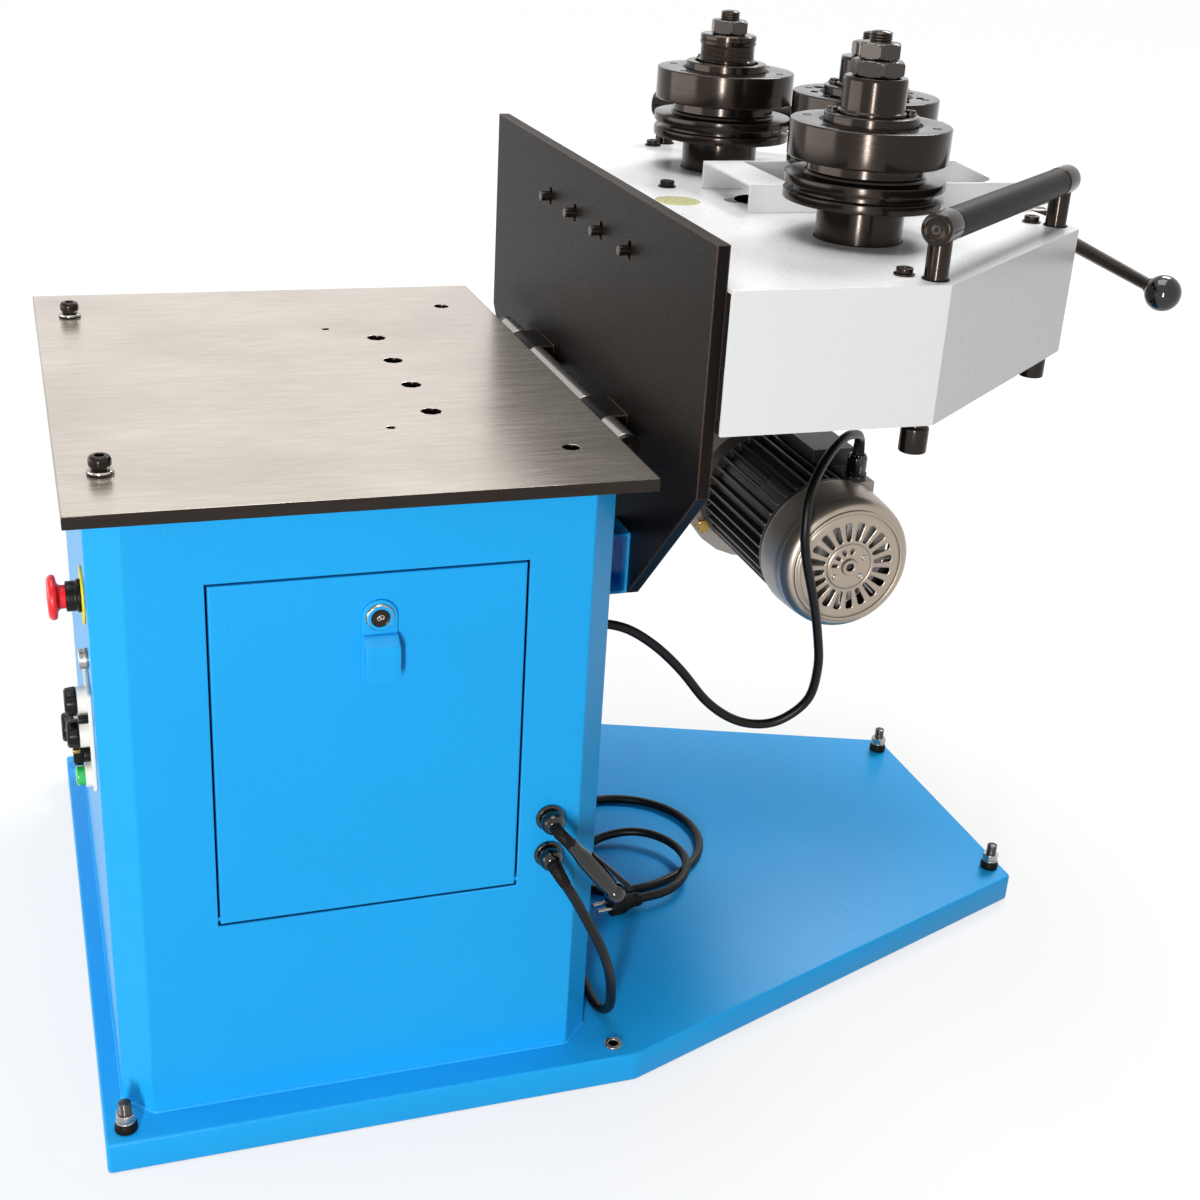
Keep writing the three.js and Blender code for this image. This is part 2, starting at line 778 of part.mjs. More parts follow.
// Hinge: three barrels on the table, two knuckles on the plate and one long pin
function addHinge() {
  const barrelSpans = [
    [-hingeHalf, -knuckleOuter - knuckleGap],
    [-knuckleInner + knuckleGap, knuckleInner - knuckleGap],
    [knuckleOuter + knuckleGap, hingeHalf],
  ];
  const bore = alongY(hole(hingePinRadius + gap, -hingeHalf - overrun, hingeHalf + overrun, coarse))
    .translate(hingeX, 0, hingeZ);
  const barrels = barrelSpans.map(([y0, y1]) => cut(
    join(
      alongY(rod(barrelRadius, y0, y1, plain)).translate(hingeX, 0, hingeZ),
      block(cabinetHalfX + gap, hingeX, y0, y1, hingeZ - barrelRadius,
        tableUnder - gap),
    ),
    bore,
  ));
  const leaf = block(cabinetHalfX + gap, hingeX - barrelRadius - knuckleGap, -hingeHalf,
    hingeHalf, hingeZ - barrelRadius, tableUnder - gap);
  add('table_hinge', join(barrels, leaf), brightSteel());

  const headWidth = 2 * sheet;
  const ends = [-1, 1].map((s) => {
    const piece = rod(barrelRadius, 0, headWidth, plain);
    const place = s * (hingeHalf + knuckleGap);
    return (s < 0 ? alongMinusY(piece) : alongY(piece)).translate(hingeX, place, hingeZ);
  });
  const socket = alongMinusY(rod(hingePinRadius / 2, hingeHalf + 2 * knuckleGap,
    hingeHalf + overrun + headWidth, hexSides)).translate(hingeX, 0, hingeZ);
  const pin = alongY(rod(hingePinRadius, -hingeHalf - 2 * knuckleGap,
    hingeHalf + 2 * knuckleGap, coarse)).translate(hingeX, 0, hingeZ);
  add('hinge_pin', cut(join(pin, ends), socket), blackOxide());
}

function plateOutline() {
  return [
    [-plateBottomHalf, plateBottom], [plateBottomHalf, plateBottom],
    [plateHalf, plateChamferTop], [plateHalf, plateTop],
    [-plateHalf, plateTop], [-plateHalf, plateChamferTop],
  ];
}

// Stands an outline of [y, z] points up as a plate between two X values.
function standing(outline, x0, x1) {
  const geometry = raised(outline, x0, x1);
  const matrix = new THREE.Matrix4().set(
    0, 0, 1, 0, 1, 0, 0, 0, 0, 1, 0, 0, 0, 0, 0, 1);
  return geometry.applyMatrix4(matrix);
}

const screwYs = clampHoleY.flatMap((y) => [-y, y]);

function addTiltPlate() {
  const slots = screwYs.map((y) => standing([
    [y - screwRadius - gap, screwRowZ - slotHalfHeight],
    [y + screwRadius + gap, screwRowZ - slotHalfHeight],
    [y + screwRadius + gap, screwRowZ + slotHalfHeight],
    [y - screwRadius - gap, screwRowZ + slotHalfHeight],
  ], plateFace - overrun, plateBack + overrun));
  const bore = alongY(hole(hingePinRadius + gap, -hingeHalf, hingeHalf, coarse))
    .translate(hingeX, 0, hingeZ);
  const knuckles = [-1, 1].map((s) => {
    const [y0, y1] = [s * knuckleInner, s * knuckleOuter].sort((a, b) => a - b);
    return cut(
      join(
        alongY(rod(barrelRadius, y0, y1, plain)).translate(hingeX, 0, hingeZ),
        block(hingeX, plateFace + gap, y0, y1, hingeZ - barrelRadius, hingeZ + barrelRadius),
      ),
      bore,
    );
  });
  const plate = cut(standing(plateOutline(), plateFace, plateBack), slots);
  add('tilt_plate', join(plate, knuckles), blackPaint());

}

// Outline of the head, seen from above, moved in by a distance.
function headOutline(distance) {
  const left = headFace;
  const outline = [
    [left, headCentre - headHalf], [headBend, headCentre - headHalf],
    [headRight, headCentre - headRightHalf], [headRight, headCentre + headRightHalf],
    [headBend, headCentre + headHalf], [left, headCentre + headHalf],
  ];
  return distance ? inset(outline, distance) : outline;
}

const headMiddle = (headFace + headBend) / 2;

const handlePlaces = [-1, 1].flatMap((s) => [
  [handleLeftX, headCentre + s * handleLeftY],
  [handleRightX, headCentre + s * handleRightY],
]);

// Frame: bottom and middle bearing plates, a wall bolted to the tilt plate and the slide rails
function addHeadFrame() {
  const inside = coverWall + gap;
  const full = headOutline(inside);
  const face = headFace;
  const plates = [[headBottom, lowerPlateTop], [midBottom, midTop]].map(([z0, z1]) => {
    const outline = full.map(([x, y]) => [x < headMiddle ? face : x, y]);
    return raised(outline, z0, z1);
  });
  const studs = screwYs.map((y) => alongX(rod(screwRadius, plateFace - screwOut, face + gap, coarse))
    .translate(0, y, screwRowZ));
  const halfWall = headHalf - inside - overrun;
  const wall = block(face, face + wallPlate, headCentre - halfWall, headCentre + halfWall,
    headBottom, coverInside - gap);
  const posts = [-1, 1].flatMap((s) => [
    rod(postRadius * 2, lowerPlateTop - gap, midBottom + gap, coarse)
      .translate(rollX + rollSpacing, headCentre + s * rollSpacing / 2, 0),
    rod(postRadius * 2, lowerPlateTop - gap, midBottom + gap, coarse)
      .translate(rollX - rollSpacing, headCentre + s * rollSpacing / 2, 0),
  ]);
  const rails = [-1, 1].map((s) => {
    const inner = headCentre + s * (blockHalfY + gap);
    const outer = headCentre + s * (blockHalfY + wallPlate);
    const [y0, y1] = [inner, outer].sort((a, b) => a - b);
    return block(channelLeft, headRight - inside - gap, y0, y1, midTop - gap,
      screwZ);
  });
  const holes = [
    ...drivenY.map((y) => [shaftRadius + gap, rollX, y]),
    [shaftRadius - sheet + gap, rollX, headCentre],
    ...handlePlaces.map(([x, y]) => [postRadius + gap, x, y]),
  ].map(([r, x, y]) => hole(r, headBottom - overrun, midTop + overrun, coarse).translate(x, y, 0));
  const frame = cut(join(plates, wall, posts, rails), holes);
  add('head_frame', join(frame, studs), darkCasting());

  drivenY.forEach((y, i) => {
    const housing = turned([
      [shaftRadius + gap, midTop], [housingRadius, midTop], [housingRadius, housingTop],
      [shaftRadius + gap, housingTop], [shaftRadius + gap, midTop],
    ], fine);
    add(`roll_housing_${i + 1}`, housing.translate(rollX, y, 0), blackOxide());
  });
}

// Cover: a folded white shell, open below and towards the tilt plate
function addHeadCover() {
  const inner = headOutline(coverWall).map(([x, y]) => [x < headMiddle ? x - overrun : x, y]);
  const top = coverInside - overrun;
  const holes = [
    ...drivenY.map((y) => [housingRadius + gap, rollX, y]),
    ...handlePlaces.map(([x, y]) => [postRadius + gap, x, y]),
    [coverPlugRadius, coverPlugX, headCentre], [oilHoleRadius, oilHoleX, headCentre],
  ].map(([r, x, y]) => hole(r, top, headTop + overrun).translate(x, y, 0));
  const slot = block(slotLeft, slotRight, headCentre - slotHalf, headCentre + slotHalf,
    top, headTop + overrun);
  const noseHole = alongX(hole(spindleRadius + 2 * sheet + gap, -overrun, overrun))
    .translate(headRight, headCentre, screwZ);
  const cover = cut(
    raised(headOutline(0), headBottom, headTop),
    raised(inner, headBottom - overrun, coverInside),
    holes, slot, noseHole,
  );
  add('head_cover', cover, whitePaint());

  const plug = turned([
    [0, coverInside], [coverPlugRadius - gap, coverInside], [coverPlugRadius - gap, headTop - coverPlugDip],
    [0, headTop - coverPlugDip],
  ], plain).translate(coverPlugX, headCentre, 0);
  add('inspection_plug', plug, paint('plug', 0xc9c98a, 0.5, 0));
}

// Channel: two walls beside the slide slot, roofed at the plate end, sloped at the crank end
function addChannel() {
  const roof = headTop + channelHeight;
  const side = [
    [channelLeft, headTop], [headRight, headTop], [channelEnd, headTop + channelHeight / 4],
    [channelEnd, headTop + channelHeight / 3], [channelSlope, roof], [channelLeft, roof],
  ];
  const tipUp = new THREE.Matrix4().set(
    1, 0, 0, 0, 0, 0, -1, 0, 0, 1, 0, 0, 0, 0, 0, 1);
  const walls = [-channelHalf, channelHalf - sheet].map((y) =>
    raised(side, -(headCentre + y + sheet), -(headCentre + y)).applyMatrix4(tipUp));
  const top = block(channelLeft, channelRoof, headCentre - channelHalf + gap,
    headCentre + channelHalf - gap, roof - sheet, roof);
  add('channel_cover', join(walls, top), whitePaint());
}

// Involute gear outline with its first tooth centred on an angle.
function gearOutline(teeth, firstTooth) {
  const pitch = gearModule * teeth / 2;
  const base = pitch * Math.cos(pressureAngle);
  const tip = pitch + addendumShare * gearModule;
  const root = pitch - dedendumShare * gearModule;
  const involute = (r) => {
    const a = Math.acos(Math.min(1, base / r));
    return Math.tan(a) - a;
  };
  const halfAtPitch = Math.PI / (2 * teeth) - backlash / (4 * pitch);
  const flank = [Math.max(root, base), tip];
  const half = (r) => halfAtPitch + involute(pitch) - involute(Math.max(r, base));
  const points = [];
  for (let i = 0; i < teeth; i += 1) {
    const centre = firstTooth + 2 * Math.PI * i / teeth;
    const put = (r, a) => points.push([r * Math.cos(a), r * Math.sin(a)]);
    if (root < base) put(root, centre - half(flank[0]));
    flank.forEach((r) => put(r, centre - half(r)));
    [...flank].reverse().forEach((r) => put(r, centre + half(r)));
    if (root < base) put(root, centre + half(flank[0]));
  }
  return points;
}

// Drive: both roll gears mesh with the idler between them
function addGears() {
  const toothHalf = Math.PI / gearTeeth;
  drivenY.forEach((y, i) => {
    const facing = i === 0 ? -Math.PI / 2 : Math.PI / 2;
    const gear = cut(
      raised(gearOutline(gearTeeth, facing + toothHalf), gearBottom, gearTop),
      hole(shaftRadius + gap, gearBottom - overrun, gearTop + overrun),
    ).translate(rollX, y, 0);
    add(`roll_${i + 1}_gear`, gear, brightSteel());
  });
  const idlerPin = shaftRadius - sheet;
  const idler = join(
    raised(gearOutline(idlerTeeth, Math.PI / 2), gearBottom, gearTop),
    rod(idlerPin, headBottom, midTop - gap, plain),
  ).translate(rollX, headCentre, 0);
  add('idler_gear', idler, brightSteel());
}

// Lower ring of a roll: two flanges with a groove between them, and the neck above
function lowerRing(x, y) {
  const bore = shaftRadius + gap;
  const grooveRadius = rollRadius - thinFlange;
  const z = [rollBottom];
  [thinFlange, thinGroove, thinFlange, neckHeight].forEach((h) => z.push(z.at(-1) + h));
  return turned([
    [bore, z[0]], [rollRadius, z[0]], [rollRadius, z[1]], [grooveRadius, z[1]],
    [grooveRadius, z[2]], [rollRadius, z[2]], [rollRadius, z[3]], [neckRadius, z[3]],
    [neckRadius, z[4]], [bore, z[4]], [bore, z[0]],
  ], fine).translate(x, y, 0);
}

// Upper ring of a roll: a thick disc, hollowed on top, with pin holes round a raised collar
function upperRing(x, y) {
  const bore = shaftRadius + gap;
  const top = upperBottom + upperHeight;
  const rimInner = collarRadius + 2 * recess;
  const body = turned([
    [bore, upperBottom], [rollRadius, upperBottom], [rollRadius, top], [rimInner, top],
    [rimInner, top - recess], [collarRadius, top - recess], [collarRadius, ringsTop],
    [bore, ringsTop], [bore, upperBottom],
  ], fine);
  const pinCircle = (rollRadius + rimInner) / 2;
  const pins = Array.from({ length: pinHoleCount }, (_, i) => {
    const angle = 2 * Math.PI * (i + 1 / 2) / pinHoleCount;
    return rod(recess, top - upperHeight / 3, top + overrun, coarse)
      .translate(pinCircle * Math.cos(angle), pinCircle * Math.sin(angle), 0);
  });
  return cut(body, pins).translate(x, y, 0);
}

// A roll shaft with its spacer sleeve and clamp nuts above the rings
function rollShaft(x, y, bottom, sleeveHeight, nuts) {
  const low = ringsTop + gap;
  const sleeveTop = low + sleeveHeight;
  const stud = shaftRadius - recess;
  const parts = nuts.map((radius, i) =>
    rod(radius, sleeveTop + i * nutPitch - gap, sleeveTop + (i + 1) * nutPitch - bevel / 2, hexSides));
  const top = sleeveTop + nuts.length * nutPitch + overrun;
  const shaft = turned([
    [0, bottom], [shaftRadius, bottom], [shaftRadius, low], [sleeveRadius, low],
    [sleeveRadius, sleeveTop], [stud, sleeveTop], [stud, top - bevel],
    [stud - bevel, top], [0, top],
  ], plain);
  return join(shaft, parts).translate(x, y, 0);
}

function addRolls() {
  const shaftBottoms = [
    motorZ - gearboxHalfZ + overrun, headBottom + gap, midTop + 3 * sheet,
  ];
  const places = [...drivenY.map((y) => [rollX, y]), [centreRollX, headCentre]];
  places.forEach(([x, y], i) => {
    const sleeve = sleeveHeights[i];
    add(`roll_${i + 1}_lower_ring`, lowerRing(x, y), blackOxide());
    add(`roll_${i + 1}_upper_ring`, upperRing(x, y), blackOxide());
    add(`roll_${i + 1}_shaft`, rollShaft(x, y, shaftBottoms[i], sleeve, nutSets[i]),
      blackOxide());
  });
}

// Slide: a block that carries the centre roll and holds the collar of the screw
const collarPocket = 44;

function addSlide() {
  const x1 = centreRollX + blockHalfX;
  const pocketX = x1 - collarPocket + 2 * spindleCollar;
  const body = join(
    block(centreRollX - blockHalfX, x1, headCentre - blockHalfY, headCentre + blockHalfY,
      midTop + gap, blockTop),
    rod(housingRadius, blockTop - gap, housingTop, fine).translate(centreRollX, headCentre, 0),
  );
  const shaftHole = hole(shaftRadius + gap, midTop + 2 * sheet, housingTop + overrun)
    .translate(centreRollX, headCentre, 0);
  const pocket = alongX(hole(spindleCollar + gap, pocketX - 2 * sheet, pocketX + gap))
    .translate(0, headCentre, screwZ);
  const bore = alongX(hole(spindleRadius + gap, pocketX - 2 * sheet, x1 + overrun))
    .translate(0, headCentre, screwZ);
  add('slide_block', cut(body, shaftHole, pocket, bore), blackOxide());

  const spindle = alongX(turned([
    [0, pocketX - 2 * sheet + gap], [spindleCollar, pocketX - 2 * sheet + gap],
    [spindleCollar, pocketX], [spindleRadius, pocketX], [spindleRadius, hubLeft - gap],
    [spindleRadius - sheet, hubLeft - gap], [spindleRadius - sheet, spindleEnd],
    [0, spindleEnd],
  ], plain)).translate(0, headCentre, screwZ);
  add('slide_screw', spindle, brightSteel());

  const nutBack = headRight - coverWall - gap;
  const nutHalf = 2 * spindleRadius;
  const nut = cut(
    join(
      block(nutBack - nutHalf, nutBack, headCentre - nutHalf, headCentre + nutHalf,
        midTop + gap, coverInside - gap),
      alongX(rod(spindleRadius + 2 * sheet, nutBack - gap, headRight + sheet / 2, plain))
        .translate(0, headCentre, screwZ),
    ),
    alongX(hole(spindleRadius + gap, nutBack - nutHalf - overrun, headRight + overrun))
      .translate(0, headCentre, screwZ),
  );
  add('screw_nut', nut, brass());
}

// Crank: a hub, a lever and a ball knob
function addCrank() {
  const hub = cut(
    alongX(turned([
      [0, hubLeft], [hubRadius, hubLeft], [hubRadius, hubLeft + hubWidth],
      [0, hubLeft + hubWidth],
    ], plain)),
    alongX(hole(spindleRadius - sheet + gap, hubLeft - overrun, hubLeft + hubWidth + overrun)),
  );
  const leverX = hubLeft + hubWidth / 2;
  const lever = alongMinusY(turned([
    [0, hubRadius - sheet], [leverRadius + bevel / 2, hubRadius - sheet],
    [leverRadius, leverLength / 2], [leverRadius, leverLength - ballRadius / 2],
    [0, leverLength - ballRadius / 2],
  ], coarse)).translate(leverX, 0, 0);
  const ball = new THREE.SphereGeometry(ballRadius, plain, coarse).translate(leverX, -leverLength, 0);
  const crank = join(hub, lever, ball).rotateX(THREE.MathUtils.degToRad(leverDrop));
  add('crank_lever', crank.translate(0, headCentre, screwZ), blackPlastic());
}

// Handles: a U frame of two posts, end caps and a core, with a grip sleeve round the core
function addHandles() {
  const length = Math.hypot(handleRightX - handleLeftX, handleLeftY - handleRightY);
  const turn = Math.atan2(handleLeftY - handleRightY, handleRightX - handleLeftX);
  const middle = [(handleLeftX + handleRightX) / 2, (handleLeftY + handleRightY) / 2];
  const half = length / 2;
  const core = gripRadius - sheet;
  const capIn = half - capLength;
  const capOut = half + capLength;
  ['front', 'back'].forEach((name, i) => {
    const s = i === 0 ? -1 : 1;
    const place = (geometry) => alongX(geometry).rotateZ(s < 0 ? turn : -turn)
      .translate(middle[0], headCentre + s * middle[1], handleZ);
    const bar = place(turned([
      [0, -capOut], [capRadius - bevel, -capOut], [capRadius, -capOut + bevel],
      [capRadius, -capIn],
      [core, -capIn], [core, capIn], [capRadius, capIn], [capRadius, capOut - bevel],
      [capRadius - bevel, capOut], [0, capOut],
    ], plain));
    const sockets = [-1, 1].map((e) => place(rod(capRadius / 3, e * capOut - sheet,
      e * capOut + sheet, hexSides)));
    const posts = [[handleLeftX, handleLeftY], [handleRightX, handleRightY]].map(([x, y]) =>
      join(
        rod(postRadius, postBottom + sheet, handleZ, coarse),
        rod(nutRadius, postBottom, headBottom - gap, coarse),
      ).translate(x, headCentre + s * y, 0));
    add(`handle_${name}`, join(cut(bar, sockets), posts), blackOxide());
    add(`grip_${name}`, place(ring(core + gap, gripRadius, -capIn + gap, capIn - gap, plain)),
      blackRubber());
  });
}

// Motor: a finned body, a fan under a slotted cover, and the flange of the gearbox
const atMotor = (geometry, y = 0) => alongY(geometry).translate(motorX, y, motorZ);

function finOutline() {
  const pitch = 2 * Math.PI / finCount;
  const corners = [
    [coreRadius, -finFootShare], [finRadius, -finTipShare],
    [finRadius, finTipShare], [coreRadius, finFootShare],
  ];
  return Array.from({ length: finCount }, (_, i) => corners.map(([r, share]) => [
    r * Math.cos((i + share) * pitch), r * Math.sin((i + share) * pitch),
  ])).flat();
}

function addMotorBody() {
  const body = raised(finOutline(), motorBodyFront + gap, flangeY - flangeWidth);
  const shield = rod(finRadius, motorBodyFront + gap, motorBodyFront + flangeWidth, fine);
  const endRing = rod(finRadius, flangeY - 2 * flangeWidth, flangeY - gap, fine);
  const bore = hole(motorShaft + gap, motorFace, flangeY + overrun);
  add('motor_body', atMotor(cut(join(body, shield, endRing), bore)), darkCasting());
}

// The slotted cover: rings of radial slots round a centre hole
function addFanCover() {
  const round = 4 * coverSheet;
  const outer = [
    [faceRadius, 0], [shoulderRadius, round], [motorRadius - coverSheet, 3 * round],
    [motorRadius, fanCoverLength],
  ];
  const inner = outer.map(([radius, y], i) =>
    [radius - coverSheet, i === outer.length - 1 ? y : y + coverSheet]);
  const cover = turned([[0, 0], ...outer, ...inner.reverse(), [0, coverSheet]], fine);
  const slots = grilleRings.flatMap(({ count, slotWidth, innerShare, outerShare }, ringIndex) =>
    Array.from({ length: count }, (_, i) => block(
      faceRadius * innerShare, faceRadius * outerShare, -slotWidth / 2, slotWidth / 2,
      -overrun, coverSheet + overrun / 2,
    ).rotateZ(2 * Math.PI * (i + ringIndex / 2) / count)));
  const centre = rod(2 * coverSheet, -overrun, coverSheet + overrun / 2);
  add('fan_cover', atMotor(cut(cover, slots, centre), motorFace), castAluminium());
}

function addFan() {
  const blades = Array.from({ length: bladeCount }, (_, i) =>
    block(motorShaft, fanRadius, -coverSheet / 2, coverSheet / 2, fanFront, fanBack - coverSheet)
      .rotateZ(2 * Math.PI * i / bladeCount));
  const disc = rod(fanRadius, fanBack - coverSheet, fanBack, plain);
  const hub = rod(fanHub, fanFront, fanBack, plain);
  const shaftEnd = flangeY - motorFace + gearboxLength / 2;
  const shaft = rod(motorShaft, fanBack - coverSheet, shaftEnd, coarse);
  add('motor_fan', atMotor(join(hub, disc, blades, shaft), motorFace), blackPlastic());
}

// Terminal box: a flat box on the motor's fins, with a lower shelf that holds the cable's gland
function addTerminalBox() {
  const box = block(boxLeft, boxRight, boxFront, boxBack, shelfTop - shelfDepth, boxTop);
  const shelf = block(shelfLeft, boxRight, shelfFront, boxFront + overrun,
    shelfTop - shelfDepth, shelfTop);
  const entry = join(
    rod(boxGlandRadius, shelfTop - gap, shelfTop + glandNut, hexSides),
    rod(boxGlandCap, shelfTop, shelfTop + entryHeight, plain),
  ).translate(boxGlandX, boxGlandY, 0);
  add('terminal_box', cut(
    join(box, shelf, entry),
    atMotor(hole(finRadius + gap, motorFace, flangeY, fine)),
  ), castAluminium());
}

// Worm gearbox: hangs from the head round the long shaft of the back roll
function addGearbox() {
  const y0 = flangeY + flangeWidth;
  const outY = drivenY[0];
  const centreX = (rollX + motorX) / 2;
  const corner = gearboxHalfZ / 3;
  const profile = [
    [centreX - gearboxHalfX, motorZ - gearboxHalfZ],
    [centreX + gearboxHalfX, motorZ - gearboxHalfZ],
    [centreX + gearboxHalfX, motorZ + gearboxHalfZ],
    [centreX - gearboxHalfX, motorZ + gearboxHalfZ],
  ];
  const rounded = profile.flatMap(([x, z], i) => {
    const [px, pz] = profile[(i + 3) % 4];
    const [nx, nz] = profile[(i + 1) % 4];
    const toward = (ax, az) => {
      const d = Math.hypot(ax - x, az - z);
      return [x + corner * (ax - x) / d, z + corner * (az - z) / d];
    };
    return [toward(px, pz), toward(nx, nz)];
  });
  const flat = new THREE.Matrix4().set(
    1, 0, 0, 0, 0, 0, -1, 0, 0, 1, 0, 0, 0, 0, 0, 1);
  const housing = raised(rounded, -(y0 + gearboxLength), -y0).applyMatrix4(flat);
  const flange = atMotor(rod(flangeRadius, flangeY, flangeY + flangeWidth + gap, fine));
  const neck = rod(gearboxNeck, motorZ, headBottom - gap, fine).translate(rollX, outY, 0);
  const foot = rod(gearboxFoot, headBottom - gap - flangeWidth, headBottom - gap, fine)
    .translate(rollX, outY, 0);
  const drain = alongMinusY(rod(screwRadius, 0, sheet * 2, hexSides))
    .translate(motorX - drainX, flangeY + gap, motorZ - drainZ);
  add('gearbox', cut(
    join(housing, flange, neck, foot, drain),
    hole(shaftRadius + gap, motorZ - gearboxHalfZ + overrun - gap, headBottom + overrun)
      .translate(rollX, outY, 0),
    atMotor(hole(motorShaft + gap, flangeY - overrun, flangeY + gearboxLength / 2 + sheet)),
  ), castAluminium());
}

// Controls: an emergency stop, a key switch and a white panel of knobs
const put = (geometry, y, z, lift = 0) =>
  alongMinusX(geometry).translate(-cabinetHalfX - lift, y, z);

function addStop() {
  add('estop_base', put(turned([
    [stopStem + gap, 0], [stopDisc, 0], [stopDisc, stopDiscThickness],
    [stopCollar, stopDiscThickness], [stopCollar, stopCollarHeight],
    [stopStem + gap, stopCollarHeight], [stopStem + gap, 0],
  ], fine), controlY, stopZ), yellowPlastic());
  const top = stopStemHeight + mushroomHeight;
  add('estop_button', put(turned([
    [0, stopTravel + gap], [stopStem, stopTravel + gap], [stopStem, stopStemHeight],
    [mushroom - bevel, stopStemHeight], [mushroom, stopStemHeight + bevel],
    [mushroom, top - 2 * bevel], [mushroom - 2 * bevel, top - bevel / 2], [0, top],
  ], fine), controlY, stopZ), redPlastic());
  add('key_switch', put(turned([
    [0, 0], [keyRadius, 0], [keyRadius, keyHeight - bevel], [keyRadius - bevel, keyHeight],
    [0, keyHeight],
  ]), controlY, keyZ, gap), brightSteel());
}

// A knob with flutes round its skirt
function knob(radius, height) {
  const outline = Array.from({ length: fine }, (_, i) => {
    const r = i % 2 ? radius : radius - bevel / 2;
    const a = 2 * Math.PI * i / fine;
    return [r * Math.cos(a), r * Math.sin(a)];
  });
  return join(raised(outline, 0, height - bevel), rod(radius - bevel, 0, height));
}

function addPanel() {
  const plate = block(-cabinetHalfX - panelThickness, -cabinetHalfX, panelFront, panelBack,
    panelBottom, panelTop);
  const boss = (y, z, radius, height) =>
    put(rod(radius, -gap, height, plain), y, z, panelThickness);
  const bosses = [
    ...knobZ.map((z) => boss(controlY, z, knobRadius - bevel / 2, knobBase)),
    boss(bigKnobY, bigKnobZ, bigKnobRadius - bevel, bigKnobBase),
    boss(lampY, lampZ, lampRadius, lampHeight),
    boss(controlY, greenZ, greenRadius + bevel, greenBase),
  ];
  const greenBore = put(hole(greenRadius + gap, gap, overrun), controlY, greenZ, panelThickness);
  add('control_panel', cut(join(plate, bosses), greenBore), whitePlastic());

  const lift = panelThickness + gap;
  knobZ.forEach((z, i) => add(`knob_${i + 1}`,
    put(knob(knobRadius, knobHeight), controlY, z, lift + knobBase), blackPlastic()));
  add('knob_3', put(knob(bigKnobRadius, knobHeight), bigKnobY, bigKnobZ, lift + bigKnobBase),
    blackPlastic());
  const blade = block(-bevel, bevel, -selectorRadius + gap, selectorRadius - gap, 0,
    selectorBlade);
  const selectorBody = rod(selectorRadius, 0, selectorBlade - selectorRadius, plain);
  add('selector', put(join(selectorBody, blade), controlY, selectorZ, lift), blackPlastic());
  add('green_button', put(rod(greenRadius, greenTravel + gap, greenHeight, plain), controlY,
    greenZ, lift), greenPlastic());
}

// Cords: glands on the front face, a coupler, the mains lead with its coil and plug
const coilStart = Math.PI;
const coilLow = baseHeight + cordRadius + gap;

function smooth(from, to, value) {
  const t = Math.min(1, Math.max(0, (value - from) / (to - from)));
  return t * t * (3 - 2 * t);
}

// Point on the coil after some turns: the loops drift and shrink from one circle to the next.
function coilPoint(turns) {
  const angle = coilStart - 2 * Math.PI * turns;
  const share = smooth(...driftShare, turns);
  const radius = loopOneRadius + (loopTwoRadius - loopOneRadius) * share;
  const rise = layerRise * smooth(...riseShare, turns);
  const fall = (layerRise - plugRadius + cordRadius) * smooth(...fallShare, turns);
  return new THREE.Vector3(
    loopOne[0] + (loopTwo[0] - loopOne[0]) * share + radius * Math.cos(angle),
    loopOne[1] + (loopTwo[1] - loopOne[1]) * share + radius * Math.sin(angle),
    coilLow + rise - fall,
  );
}

function coilPath() {
  const count = Math.round(coilTurns * coilSteps);
  const points = Array.from({ length: count + 1 }, (_, i) =>
    coilPoint(coilTurns * i / count));
  const straight = 2 * cordRadius;
  const lead = (from, next) =>
    from.clone().add(from.clone().sub(next).setLength(straight));
  const last = points.length - 1;
  const flatEnd = points[last - 1].clone().setZ(points[last].z);
  const flatStart = points[1].clone().setZ(points[0].z);
  flatStart.x = points[0].x;
  return [lead(points[0], flatStart), ...points, lead(points[last], flatEnd)];
}

// Least distance between parts of the coil that lie a half turn or more apart.
function selfGap(points) {
  let least = Infinity;
  points.forEach((a, i) => points.slice(i + coilSteps / 2).forEach((b, j) => {
    const c = points[Math.min(i + coilSteps / 2 + j + 1, points.length - 1)];
    const line = new THREE.Line3(b, c);
    const near = line.closestPointToPoint(a, true, new THREE.Vector3());
    least = Math.min(least, near.distanceTo(a));
  }));
  return least - 2 * cordRadius;
}

